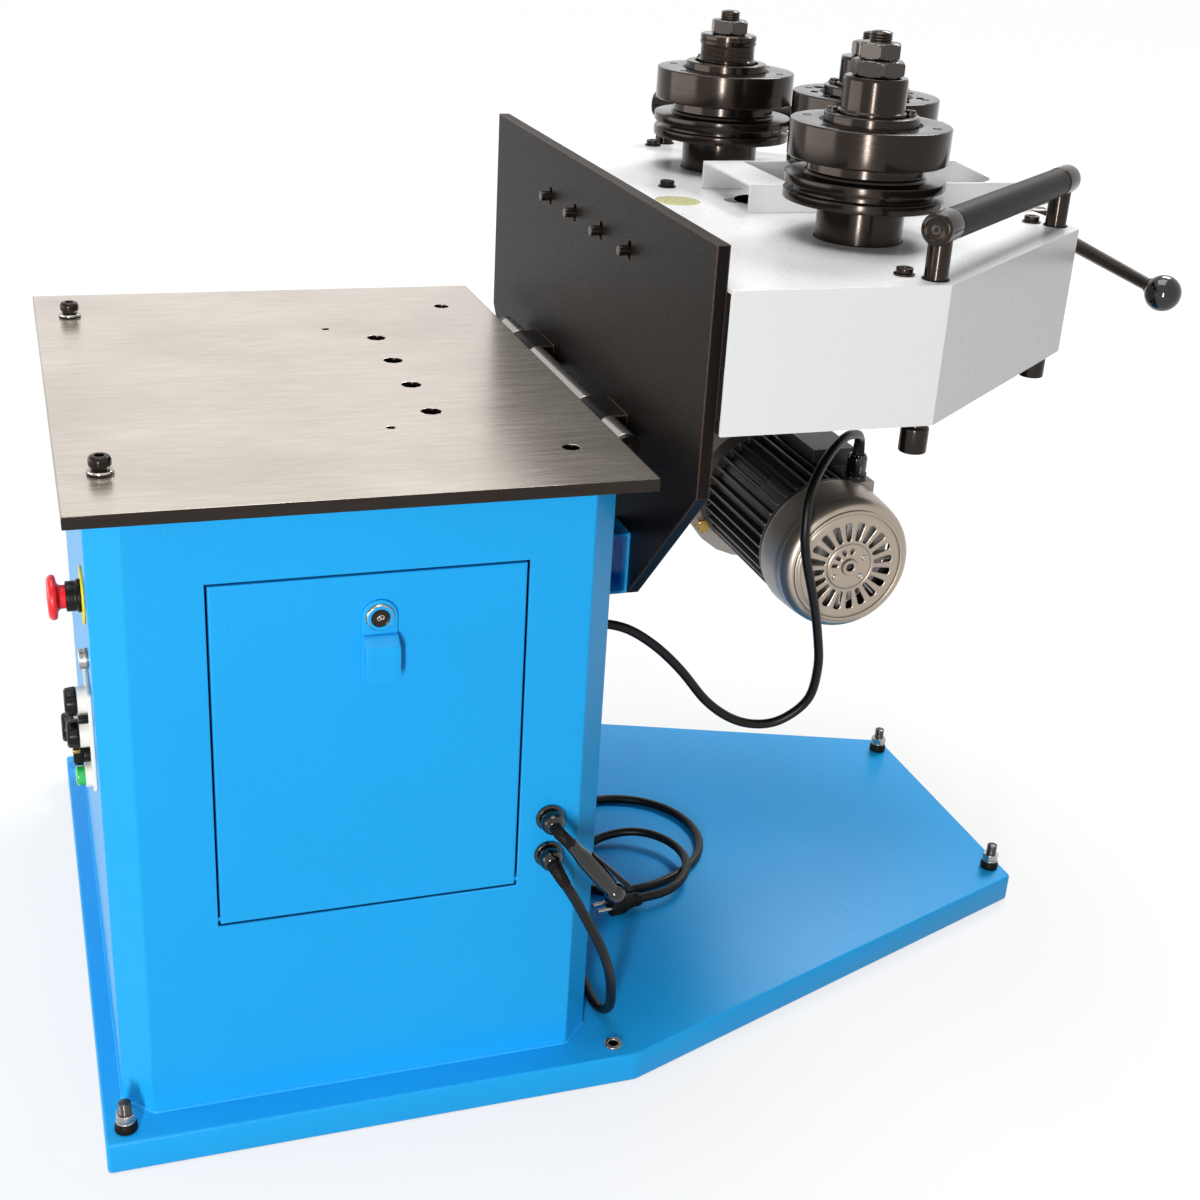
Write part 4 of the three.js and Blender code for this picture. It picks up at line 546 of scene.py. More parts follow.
# %% A smooth line through points
def smooth_line(points, spacing=3.0):
    """Catmull-Rom: between two points, a cubic whose slopes come from their neighbours; then the
    line is cut again at steps of equal length."""
    p = np.asarray(points, float)
    p = np.vstack([2 * p[0] - p[1], p, 2 * p[-1] - p[-2]])
    t = np.linspace(0, 1, 12, endpoint=False)[None, :, None]
    a, b, c, d = (p[i:len(p) - 3 + i][:, None] for i in range(4))
    line = 0.5 * (2 * b + (c - a) * t + (2 * a - 5 * b + 4 * c - d) * t ** 2
                  + (3 * b - a - 3 * c + d) * t ** 3)
    line = np.vstack([line.reshape(-1, 3), p[-2]])
    length = travelled(line)[-1]
    return along_line(line, np.linspace(0, length, int(length / spacing)))


def relaxed(line, passes=6):
    """Each inner point moves half way to the middle of its neighbours, a few times over."""
    for _ in range(passes):
        line[1:-1] = line[1:-1] / 2 + (line[:-2] + line[2:]) / 4
    return line


def cord_curve(name, line, radius):
    """A curve of one open spline with a round section and closed ends."""
    data = bpy.data.curves.new(name, "CURVE")
    data.dimensions = "3D"
    data.bevel_depth = radius * MM
    data.bevel_resolution = 5
    data.use_fill_caps = True
    spline = data.splines.new("POLY")
    spline.points.add(len(line) - 1)
    spline.points.foreach_set("co", np.column_stack([line * MM, np.ones(len(line))]).ravel())
    spline.use_smooth = True
    return linked(name, data)


def length_of(line):
    return float(np.linalg.norm(np.diff(line, axis=0), axis=1).sum()) * MM


def tube(name, line, radii, across, sides=28):
    """A circle of radius radii[i] about line[i], in the plane across the line there: cos(a) times
    the line's direction x across, plus sin(a) times the direction at right angles to both."""
    ahead = np.gradient(line, axis=0)
    ahead /= np.linalg.norm(ahead, axis=1, keepdims=True)
    side = np.cross(ahead, across)
    side /= np.linalg.norm(side, axis=1, keepdims=True)
    third = np.cross(ahead, side)
    a = np.linspace(0, 2 * pi, sides, endpoint=False)[None, :, None]
    grid = line[:, None] + np.asarray(radii)[:, None, None] * (
        np.cos(a) * side[:, None] + np.sin(a) * third[:, None])
    return closed_grid(name, grid)


def relief(name, line, reach, start, end, across):
    """A rubber strain relief on the first stretch of a cord: it tapers, with rings cut into it."""
    share = np.linspace(0, reach, 44) / reach
    path = along_line(line, np.linspace(0, reach, 44))
    rings = 0.5 * (np.sin(share * 12 * pi) > 0.55) * (share > 0.2) * (share < 0.9)
    return tube(name, path, start + (end - start) * share - rings, across)


# %% The mains lead, its loops and its plug
CORD = 5.2
MAINS_DROP = [[177, -363.3, 270], [177, -368, 270], [180, -374.5, 264], [188, -376, 250],
              [200, -372, 228], [216, -369, 196], [234, -364, 157], [246, -355, 122],
              [254, -342, 88], [259, -326, 58], [257, -308, 42], [254, -290, 40], [256, -250, 40],
              [264, -190, 40], [276, -120, 40], [286, -70, 40], [293, -24.2, 39.5]]
COIL_TURNS, COIL_STEPS = 1.75, 24
# the first circle's middle and radius, each with its change on the way to the second circle
COIL_X, COIL_Y, COIL_RADIUS = (390, -15), (7, -67), (97, -27)
ON_TRAY = 39.5


def ease(low, high, value):
    """0 below low, 1 above high, and a smooth step between."""
    t = np.clip((value - low) / (high - low), 0, 1)
    return t * t * (3 - 2 * t)


def coil_points():
    """Two loops whose middle and radius drift from the first circle to the second as they turn; the
    second climbs over the first, and the end comes down with the plug."""
    turns = np.linspace(0, COIL_TURNS, round(COIL_TURNS * COIL_STEPS) + 1)
    angle = pi - 2 * pi * turns
    drift = ease(0.62, 1.05, turns)
    x, y, radius = (first + change * drift for first, change in (COIL_X, COIL_Y, COIL_RADIUS))
    x, y = x + radius * np.cos(angle), y + radius * np.sin(angle)
    z = ON_TRAY + 12 * ease(1.12, 1.36, turns) - 4.2 * ease(1.56, 1.74, turns)
    return np.column_stack([x, y, z])


coil = coil_points()
way_out = coil[-1] - coil[-2]
way_out[2] = 0
way_out /= np.linalg.norm(way_out)
cord_end = coil[-1] + way_out * 2 * CORD
mains_line = relaxed(smooth_line(np.vstack([MAINS_DROP, coil, cord_end])))
mains = dress(cord_curve("mains_cord", mains_line, CORD), "base", "cord_rubber", "mains_lead",
              "mains_coil")
print("mains cord", round(length_of(mains_line), 3), "m")


def plug_pieces():
    """A tapered rubber plug and two round pins, on the cord's own direction."""
    body = turned("plug_body", [[0, 0], [7.2, 0], [8.6, 6], [8.2, 9], [9, 14], [10, 18], [13, 24],
                                [13, 40], [0, 40]], cord_end, way_out, 40, 1.5)
    side = np.cross(way_out, Z)
    pins = [drum(f"plug_pin_{i}", 2.4, 38, 59, cord_end + s * 6.5 * side, way_out, 1.2,
                 sides=20) for i, s in enumerate((-1, 1))]
    dress(body, "base", "black_rubber", "mains_plug")
    for pin in pins:
        dress(pin, "base", "bright_steel")
    return [body, *pins]


plug = plug_pieces()
dress(relief("mains_relief", mains_line, 24, 7.4, CORD + 0.5, X), "base", "black_rubber")

# %% The motor's cable
MOTOR_CABLE = [[612, -68, 560.8], [612, -68, 569], [609, -73, 580], [597, -89, 591],
               [567, -117, 599], [532, -149, 590], [500, -182, 567], [491, -196, 530],
               [496, -196, 496], [515, -190, 438], [529, -182, 390], [536, -176, 353],
               [533, -168, 310], [507, -160, 283], [479, -154, 277], [449, -150, 286],
               [418, -147, 310], [386, -144, 350], [354, -142, 382], [320, -140, 405],
               [285, -138, 414], [262, -137, 416], [247.5, -137, 416]]
cable_line = relaxed(smooth_line(MOTOR_CABLE))
cable = dress(cord_curve("motor_cord", cable_line, CORD), "head", "cord_rubber", "motor_cable")
dress(relief("cable_relief", cable_line, 21, 7.0, CORD + 0.4, np.array([0.8, -0.6, 0])), "head",
      "black_rubber")
print("motor cable", round(length_of(cable_line), 3), "m")

# %% [markdown]
# ## The tray
# The base is a shallow tray turned over: a sheet with folded sides and a lip that goes back under.
# The outline is the cabinet's rectangle that narrows towards the far end. A row of the grid is the
# outline moved in, so the whole tray is one list of insets and heights.

# %% Tray, levelling studs and bushes
TRAY = [[-255, -378], [274, -378], [837, -176], [837, 176], [274, 378], [-255, 378]]
TRAY_TOP, SHEET, LIP = 34.0, 3.0, 26.0


def tray():
    """Rows: underside, inner wall, lip, outer wall, rounded rim, top."""
    q = np.linspace(0, pi / 2, 4)
    flat = rounded(TRAY, 5, 4, closed=True)
    bend = 2.6
    rim = [(bend * (1 - cos(a)), TRAY_TOP - bend * (1 - sin(a))) for a in q]
    foot = [(bend * (1 - sin(a)), bend * (1 - cos(a))) for a in q]
    levels = [(SHEET, TRAY_TOP - SHEET), (SHEET, SHEET), (LIP, SHEET), (LIP, 0), *foot, *rim]
    grid = np.stack([np.column_stack([inset(flat, d), np.full(len(flat), z)]) for d, z in levels])
    return closed_grid("tray", grid)


dress(tray(), "base", "blue_paint", "base_tray")
keep("tray_frame", "base_frame", "base", "blue_paint", 0.6, below=30.8)

for number, (x, y) in enumerate([(-235, -358), (-235, 358), (820, -152), (820, 152)]):
    spot = (x, y, 0)
    profile = [[0, 34.2], [10.6, 34.2], [11, 37], [10.4, 42], [8.6, 44.4], [0, 44.4]]
    dress(turned(f"level_cup_{number}", profile, spot, sides=40, round_by=1.2), "base",
          "black_rubber")
    dress(drum(f"level_washer_{number}", 9.4, 44.3, 46.0, spot, round_by=0.5, sides=40), "base",
          "bright_steel")
    dress(hexagon(f"level_nut_{number}", 9.8, 46.0, 54, spot, spin=0.4 * number), "base",
          "bright_steel")
    dress(threaded(f"level_stud_{number}", 6.0, 53, 67, spot), "base", "nut_steel")
for number, y in enumerate((-358, 358)):
    spot = (254, y, 0)
    dress(ring(f"bush_{number}", 5.4, 9.2, 34.1, 36.6, spot, Z, 40, 0.6), "base", "bright_steel")
    # the bush's bore is a black disc: painted shade inside the hole
    dress(drum(f"bush_hole_{number}", 5.3, 34.05, 34.6, spot, round_by=0.1, sides=32), "base",
          "hole_black")
print("tray with four studs and two bushes")

# %% [markdown]
# ## The cabinet
# Folded sheet with a broad chamfer down each corner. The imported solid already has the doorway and
# the two stops, so a merged copy of it is kept and only its edges are rolled round, the long
# corners more.

# %% Cabinet and door
CABINET = [[-207, -342], [207, -342], [235, -314], [235, 314], [207, 342], [-207, 342], [-235, 314],
           [-235, -314]]


def weld_bead():
    """Rows go up the cabinet's foot: the outline pushed out by a quarter circle, with small
    waves."""
    flat = rounded(CABINET, 2, 3, closed=True)
    loop = np.vstack([flat, flat[:1]])
    even = np.linspace(0, travelled(loop)[-1], 900, endpoint=False)
    line = along_line(loop, even)
    q = np.linspace(0, pi / 2, 4)
    wave = 1 + 0.12 * np.sin(even / 2.1)
    rows = [np.column_stack([inset(line, -1.9 * cos(a)), 34.05 + 2.4 * sin(a) * wave]) for a in q]
    return closed_grid("weld_bead", np.stack(rows))


def long_corners(x, y, z):
    """The upright edges of the cabinet and those of its doorway, below the table."""
    return 60 < z < 620 and x < 236 and (abs(x) > 200 or y < -341 and abs(x - 3.5) < 150)


def door_rim(x, y, z):
    return y < -341 and (abs(z - 410) > 165 or abs(x - 3) > 136)


keep("cabinet", "cabinet_shell", "base", "blue_paint", 0.8, wide=1.6, outer=long_corners, sharp=30)
dress(weld_bead(), "base", "blue_paint")
keep("door", "cabinet_door", "door", "blue_paint", 0.9, wide=2.8, outer=door_rim)
dress(turned("cable_bushing", [[0, 234.5], [11.4, 234.5], [11.4, 240], [8.6, 247.4], [0, 247.4]],
             (0, -137, 416), X, 40, 1.2), "base", "black_rubber")
keep("switch_plate", "switch_panel", "base", "bright_steel", 0.4)
keep("contactors", "switchgear", "base", "black_plastic", 0.8)

# %% [markdown]
# The pull tab is one strip of sheet: up the door, out in a slope and straight down, with its lower
# corners cut round. Across, the half width shrinks near the end by a quarter circle.

# %% Pull tab and lock
LOCK = (10.0, 541.0)
FACE = -345.4


def pull_tab():
    """A side profile (out, up) carried across a half width; near its end the width is cut by a
    circle, and the sheet is given its thickness afterwards."""
    side = rounded([[0, 523.4], [2.4, 523.2], [14.6, 515], [14.6, 484.2]], 2.6, 6)
    length, corner = travelled(side)[-1], 5.0
    last = length - corner + corner * np.sin(np.linspace(0, pi / 2, 7)[1:])
    even = np.r_[np.linspace(0, length - corner, 20), last]
    line = along_line(side, even)
    inward = corner - np.maximum(length - even, 0)
    reach = corner - np.sqrt(np.maximum(corner ** 2 - inward ** 2, 0))
    across = np.linspace(-1, 1, 9)[None, :] * (15.5 - np.where(inward > 0, reach, 0))[:, None]
    grid = np.stack([LOCK[0] + across, FACE - line[:, :1] + 0 * across, line[:, 1:] + 0 * across],
                    axis=-1)
    faces = grid_faces(*grid.shape[:2], round_columns=False)
    made = sheet("pull_tab", grid, faces, 2.6)
    bevel = made.modifiers.new("bevel", "BEVEL")
    bevel.width, bevel.segments, bevel.limit_method = 0.7 * MM, 2, "ANGLE"
    return made


def backing():
    """The raised plate behind lock and tab: a strip with a half circle on top."""
    a = np.linspace(0, pi, 25)
    arc = np.column_stack([LOCK[0] + 16 * np.cos(a), LOCK[1] + 16 * np.sin(a)])
    outline = np.vstack([[[LOCK[0] - 16, 482], [LOCK[0] + 16, 482]], arc])
    return slab("lock_backing", outline, 342.2, 345.2, 1.0, (X, Z, -Y))


dress(backing(), "door", "blue_paint", "door_pull")
dress(pull_tab(), "door", "blue_paint")
lock_at = (LOCK[0], 0, LOCK[1])
dress(turned("lock_ring", [[9.6, 344.6], [13, 344.6], [13, 346.2], [11.6, 348.2], [10, 347.6],
                           [9.4, 346.4]], lock_at, -Y, 72, 0.7, loop=True), "door", "warm_chrome")
dress(turned("lock_barrel", [[0, 325], [9.3, 325], [9.3, 346.4], [8.2, 347.4], [7.4, 346.6],
                             [0, 346.4]], lock_at, -Y, 56, 0.4), "lock", "black_oxide", "lock_core")
for number, (dx, dz, size) in enumerate(((-1.1, -0.6, 2.2), (1.1, 0.5, 2.4))):
    dress(ring(f"lock_keyway_{number}", size - 0.9, size, 346.2, 347.4 + number / 4,
               (LOCK[0] + dx, 0, LOCK[1] + dz), -Y, 32, 0.3), "lock", "bright_steel")
print("cabinet, door, pull tab and lock")

# %% [markdown]
# ## The table
# The plate's top is ground bright and its sides stay black, so the copy of the solid gets two
# materials, chosen by which way each face looks.

# %% Table, washers and cap bolts
def two_toned(piece, slot, rule):
    """The faces whose normal and middle (in mm) pass the rule take a second material."""
    piece.data.materials.append(finishes[slot])
    count = len(piece.data.polygons)
    normals, middles = np.empty(count * 3), np.empty(count * 3)
    piece.data.polygons.foreach_get("normal", normals)
    piece.data.polygons.foreach_get("center", middles)
    index = rule(normals.reshape(-1, 3), middles.reshape(-1, 3) / MM).astype(np.int32)
    piece.data.polygons.foreach_set("material_index", index)


table = keep("table", "table_top", "base", "brushed_steel", 0.8)
two_toned(table, "black_oxide", lambda n, m: n[:, 2] < 0.5)
for number, y in enumerate((-255, 255)):
    spot = (-214, y, 0)
    dress(turned(f"bolt_collar_{number}", [[5, 656.1], [11.7, 656.1], [11.9, 658.4], [5, 658.4]],
                 spot, sides=56, round_by=0.6, loop=True), "base", "black_oxide")
    dress(turned(f"bolt_washer_{number}", [[4, 658.2], [11.6, 658.2], [11.2, 660.2], [4, 660.4]],
                 spot, sides=56, round_by=0.6, loop=True), "base", "bright_steel")
    profile = [[0, 660.2], [7.8, 660.2], [8.2, 662.4], [10, 664.6], [10, 670], [8.4, 672.8],
               [5.4, 673.4], [4.3, 673], [4.2, 668], [0, 668]]
    dress(turned(f"cap_bolt_{number}", profile, spot, sides=48, round_by=0.7), "base",
          "black_oxide")

# %% [markdown]
# ## Hinge and tilt plate
# Steel barrels on the table's side, black knuckles on the plate, one long pin. The four studs that
# clamp the plate look out of short slots.

# %% Hinge, plate, studs
keep("hinge_leaf", "table_hinge", "base", "black_oxide", 0.5)
hinge_at = (279.5, 0, 639)
for number, (y0, y1) in enumerate([(-212, -159), (-91, 91), (159, 212)]):
    dress(ring(f"hinge_barrel_{number}", 7.6, 12.3, y0, y1, hinge_at, Y, 48), "base",
          "bright_steel")
keep("hinge_rod", "hinge_pin", "base", "black_oxide", 0.6)
keep("plate", "tilt_plate", "head", "black_paint", 1.0)
for number, y in enumerate((-131, -43.5, 43.5, 131)):
    dress(drum(f"clamp_stud_{number}", 5.2, -306, -288.2, (0, y, 810.5), -X, sides=32), "head",
          "black_oxide")
keep("head_casting", "head_frame", "head", "dark_casting", 0.8)

# %% [markdown]
# ## The head
# A folded white cover with generous rims. Its copy gets wide bevels along the outer edges only,
# because the inner edge of a four millimetre wall has no room for them.

# %% Head cover and channel
HEAD_TOP = 828.0


def cover_rim(x, y, z):
    """The cover's outer edges, without those of its holes and of the channel's slot."""
    outside = z > 700 and (z < 827 or abs(y - 13) > 60 or x > 780)
    return outside and not (330 < x < 740 and abs(y - 13) < 330 and z > 822)


keep("cover", "head_cover", "head", "white_paint", 0.4, wide=3.2, outer=cover_rim)
keep("channel", "channel_cover", "head", "white_paint", 0.9)
dress(drum("oil_plug", 23.6, 824, 827.4, (404, 13, 0), sides=56), "head", "pale_plastic",
      "inspection_plug")


def cap_screw(name, x, y, z, body, radius=8.0, height=7.0):
    """A low socket screw on its washer: a turned head whose middle sinks."""
    flat = drum(name + "_washer", radius * 1.25, z, z + 1.6, (x, y, 0), round_by=0.4, sides=40)
    dress(flat, body, "black_oxide")
    head = turned(name, [[0, z + 1.5], [radius, z + 1.5], [radius, z + height],
                         [radius * 0.5, z + height], [radius * 0.45, z + height / 2],
                         [0, z + height / 2]], (x, y, 0), sides=40, round_by=1.0)
    dress(head, body, "black_oxide")


for number, (x, y) in enumerate([(498, -320), (498, 346), (759, -113), (759, 139), (420, 88)]):
    cap_screw(f"cover_screw_{number}", x, y, HEAD_TOP, "head")
# a black disc at the slot's end: painted shade inside the channel under its roof
dress(drum("slot_end", 29.5, 827.6, 828.5, (500, 11, 0), round_by=0.2, sides=72), "head",
      "hole_black")
print("head cover with its screws")

# %% [markdown]
# ## Rolls
# Each roll is a stack of turned rings on a shaft: two thin flanges with a groove between them, a
# neck, a thick ring with a sunken top and a collar, a sleeve, one or two nuts and the stud. Six pin
# holes go round the thick ring; their insides are flat black, a painted shade.

# %% Roll stacks
# node, body, place (x, y), height of the sleeve, corners of the nuts, angles of the collar screws
ROLLS = [("roll_1", "roll_one", 525.0, 197.0, 30.0, (22,), (115, 25)),
         ("roll_2", "roll_two", 525.0, -171.0, 34.0, (27, 22), (156, -8)),
         ("roll_3", "roll_three", 612.0, 13.0, 30.0, (22,), (130, 10))]
SHAFT, SLEEVE_FOOT, NUT = 20.0, 948.6, 16


def around(x, y, radius, degrees):
    """A place at a radius and an angle round a roll's axis."""
    return (x + radius * cos(radians(degrees)), y + radius * sin(radians(degrees)), 0)


def roll_sleeve(node, at, top, ribbed):
    """The sleeve with its foot; the ribbed one has a ring nut on top and a fine thread below it."""
    foot = [[0, 905], [19.6, 905], [19.6, 944], [33, 944], [33, 950.5], [31, 951.5]]
    if not ribbed:
        return turned(f"{node}_sleeve", foot + [[31, top - 3], [30, top], [0, top]], at, sides=88,
                      round_by=0.8)
    heights = np.linspace(952, top - 11, 56)
    rows = np.vstack([foot, np.column_stack([np.full(56, 30.9), heights]),
                      [[32.2, top - 10.4], [32.2, top - 7], [31.2, top - 6.4], [31.2, top - 5.6],
                       [32.2, top - 5], [32.2, top - 1.4], [30.6, top], [0, top]]])
    return turned(f"{node}_sleeve", rows, at, sides=88, round_by=0.0, ripple=thread(1.5, 0.45))


def roll_stack(node, body, x, y, sleeve, nuts, screws):
    """Grooved lower ring, thick upper ring, sleeve, nuts, stud, pin holes and collar screws."""
    at = (x, y, 0)
    lower = [[SHAFT, 865], [78.5, 865], [78.5, 874], [69.5, 874], [69.5, 881], [78.5, 881],
             [78.5, 890], [60, 890], [59.4, 893], [57.4, 894], [57.4, 905], [SHAFT, 905]]
    dress(turned(f"{node}_groove_ring", lower, at, sides=144, round_by=0.9, loop=True), body,
          "black_oxide", f"{node}_lower_ring")
    upper = [[SHAFT, 905.4], [77, 905.4], [78.5, 906.8], [78.5, 939.4], [77.2, 940.3], [50, 940.3],
             [49.2, 937.4], [46.2, 937.4], [46.2, 947.4], [45, 948.3], [36.6, 948.3], [36, 942.5],
             [SHAFT, 942.5]]
    dress(turned(f"{node}_thick_ring", upper, at, sides=144, round_by=0.6, loop=True), body,
          "black_oxide", f"{node}_upper_ring")
    top = SLEEVE_FOOT + sleeve
    dress(roll_sleeve(node, at, top, node == "roll_1"), body, "black_oxide", f"{node}_shaft")
    for level, corner in enumerate(nuts):
        low = top + NUT * level
        dress(hexagon(f"{node}_nut_{level}", corner, low + 0.3, low + 15.4, at,
                      spin=0.12 * level + 0.3), body, "nut_steel")
    end = top + NUT * len(nuts) + 10
    dress(threaded(f"{node}_stud", 11, top, end, at, pitch=2.6, sides=48), body, "black_oxide")
    # the pin holes are black cups: painted shade inside them
    for step in range(6):
        hole = around(x, y, 64, 60 * step + 20)
        profile = [[0, 936], [4.2, 936], [4.2, 940.5], [3.4, 940.5], [3.2, 938], [0, 938]]
        dress(turned(f"{node}_pin_{step}", profile, hole, sides=24, round_by=0.2), body,
              "hole_black")
    for step, angle in enumerate(screws):
        spot = around(x, y, 38.6, angle)
        profile = [[5.2, 946], [6.5, 946], [6.5, 949], [6.1, 949.4], [5.2, 949.2]]
        dress(turned(f"{node}_screw_rim_{step}", profile, spot, sides=40, round_by=0.3, loop=True),
              body, "nut_steel")
        profile = [[0, 946], [5.2, 946], [5.2, 951.2], [4.2, 952.2], [2.6, 952.2], [2.5, 949.6],
                   [0, 949.6]]
        dress(turned(f"{node}_screw_{step}", profile, spot, sides=32, round_by=0.4), body,
              "black_oxide")


for roll in ROLLS:
    roll_stack(*roll)
# the third roll's holes are black discs: painted shade inside them
for step in range(9):
    spot = around(612, 13, 57, 40 * step + 8)
    dress(drum(f"roll_3_hole_{step}", 5.6 if step % 2 else 4.2, 939, 940.6, spot, round_by=0.2,
               sides=32), "roll_three", "hole_black")
for number, (_, _, x, y, *_) in enumerate(ROLLS[:2]):
    dress(ring(f"housing_{number + 1}", SHAFT, 43, 757.2, 862, (x, y, 0), Z, 112, 1.2), "head",
          "black_oxide", f"roll_housing_{number + 1}")
    profile = [[43.1, 827.2], [44.6, 827.2], [44.4, 828.5], [43.1, 829]]
    dress(turned(f"housing_gap_{number + 1}", profile, (x, y, 0), sides=80, round_by=0.2,
                 loop=True), "head", "black_rubber")
print("three roll stacks")

# %% Slide, screw and nut
keep("slide", "slide_block", "slide", "black_oxide", 0.8)
keep("screw", "slide_screw", "crank", "bright_steel", 0.5)
keep("nut_block", "screw_nut", "head", "brass", 0.6)

# %% [markdown]
# ## Handles and crank
# A handle is a grip between two end caps on posts that go down through the head to a nut. The crank
# is a tapered lever from a hub to a ball. All of it is turned round its own axis.

# %% Handles
HANDLE_Z = 875.0


def handle(side, front):
    """Two posts, and on the line between their tops the caps, the waists and the grip."""
    name = f"{side}_handle"
    ends = np.array([[520, 13 + front * 352, HANDLE_Z], [777, 13 + front * 144, HANDLE_Z]], float)
    along = (ends[1] - ends[0]) / np.linalg.norm(ends[1] - ends[0])
    span = np.linalg.norm(ends[1] - ends[0])
    for i, (x, y, _) in enumerate(ends):
        dress(drum(f"{name}_post_{i}", 11, 690, HANDLE_Z, (x, y, 0), sides=48), "head",
              "black_oxide")
        dress(ring(f"{name}_collar_{i}", 11.2, 12.8, 827.6, 829, (x, y, 0), Z, 40, 0.3), "head",
              "black_rubber")
        profile = [[0, 664], [13.4, 664], [13.4, 688], [11.6, 690], [11.6, 695.8], [0, 695.8]]
        dress(turned(f"{name}_foot_{i}", profile, (x, y, 0), sides=48, round_by=1.4), "head",
              "black_oxide")
    profile = [[0, -14.7], [9.4, -14.7], [9.8, -15.8], [10.6, -16.2], [13.2, -15.6], [15, -13.8],
               [15, 15.4], [13.4, 16.6], [13.4, 18], [0, 18]]
    for i, sign in enumerate((1, -1)):
        way = sign * along
        dress(turned(f"{name}_cap_{i}", profile, ends[i], way, 72, 0.5), "head", "black_oxide",
              *([f"handle_{side}"] if i == 0 else []))
        dress(ring(f"{name}_socket_{i}", 2.9, 4.6, -15.3, -13, ends[i], way, 6, 0.1), "head",
              "nut_steel")
        dress(drum(f"{name}_socket_floor_{i}", 2.9, -15, -14, ends[i], way, 0.1, sides=6), "head",
              "black_oxide")
    grip = [[0, 17], [14, 17], [14.6, 20], [14.6, span - 20], [14, span - 17], [0, span - 17]]
    dress(turned(f"{name}_sleeve", grip, ends[0], along, 64, 1.0), "head", "black_rubber",
          f"grip_{side}")


handle("front", -1)
handle("back", 1)

# %% Crank
CRANK_X = 845.0
drop = radians(4.2)
lever_way = np.array([0, -cos(drop), -sin(drop)])
crank_at = np.array([CRANK_X, 13, 800.0])
dress(turned("crank_hub", [[0, 834.2], [17, 834.2], [17, 856], [12, 856.6], [0, 856.6]],
             (0, 13, 800), X, 56, 1.2), "crank", "black_oxide", "crank_lever")
profile = [[0, 10], [8.4, 10], [8.2, 60], [6.6, 226], [6.6, 231], [9, 231.6], [9, 237], [6, 238.4],
           [0, 238.4]]
dress(turned("crank_arm", profile, crank_at, lever_way, 48, 0.6), "crank", "black_oxide")
q = np.linspace(0, pi, 40)
ball = np.column_stack([18.5 * np.sin(q), -18.5 * np.cos(q)])
ball[:, 1] = np.maximum(ball[:, 1], -16.6)
dress(turned("crank_ball", ball, crank_at + 253.7 * lever_way, lever_way, 64, 0.0), "crank",
      "gloss_black")
print("handles and crank")

# %% [markdown]
# ## Motor
# The body's radius is a function of the angle: a core with 36 thin ribs between two round shields.
# The cover over the fan is a bell with a thin ridge round its face. The face is a grid of rings and
# angles: its columns follow the edges of the slots, and the faces inside a slot are left out.

# %% Motor body
MOTOR = (570.0, 463.0)
motor_at = (MOTOR[0], 0, MOTOR[1])
RIBS, RIB_TOP, RIB_FOOT = 36, 77.0, 68.0


def ribs(a, r, h):
    """Radius RIB_TOP on a rib and RIB_FOOT between, with a steep flank; one pad spans three
    ribs."""
    wave = np.abs(((a * RIBS / (2 * pi)) % 1) * 2 - 1)
    rib = RIB_FOOT + (RIB_TOP - RIB_FOOT) * ease(0.58, 0.74, wave)
    pad = (np.abs(a - 3.93) < 0.17) & (h < -30)
    rib = np.where(pad, np.maximum(rib, 75), rib)
    return np.where((h > -84.8) & (h < 74.8) & (r > 60), rib, r)


body_line = [[0, -96.7], [75.6, -96.7], [77, -95.4], [77, -86.4], [76, -85], [76, -84.6], [76, -31],
             [76, -29], [76, 74.6], [76, 75], [77, 76.4], [77, 98.6], [0, 98.6]]
dress(turned("motor_housing", body_line, motor_at, Y, RIBS * 12, 0.0, ripple=ribs), "head",
      "dark_casting", "motor_body")


# %% Fan cover
def fan_bell():
    """The bell: the ridge round the face, a shoulder r = 64.5 + 12 sin q, y = -138 - 16.8 cos q,
    and a wall that widens towards the body; the inner side comes back 1.8 mm within."""
    q = np.linspace(0.12, pi / 2, 12)
    outer = np.column_stack([64.5 + 12 * np.sin(q), -138 - 16.8 * np.cos(q)])
    inner = np.column_stack([62.7 + 11.8 * np.sin(q), -138 - 15 * np.cos(q)])[::-1]
    line = np.vstack([[[61, -155], [62, -156.3], [63.6, -156.9], [65, -156.2]], outer,
                      [[77.6, -130], [79.5, -99.4], [79.5, -97.6], [77.9, -97.6], [77.6, -99.4],
                       [75.8, -130]], inner, [[61, -153.4]]])
    return turned("fan_bell", line, motor_at, Y, 144, 0.3, loop=True)


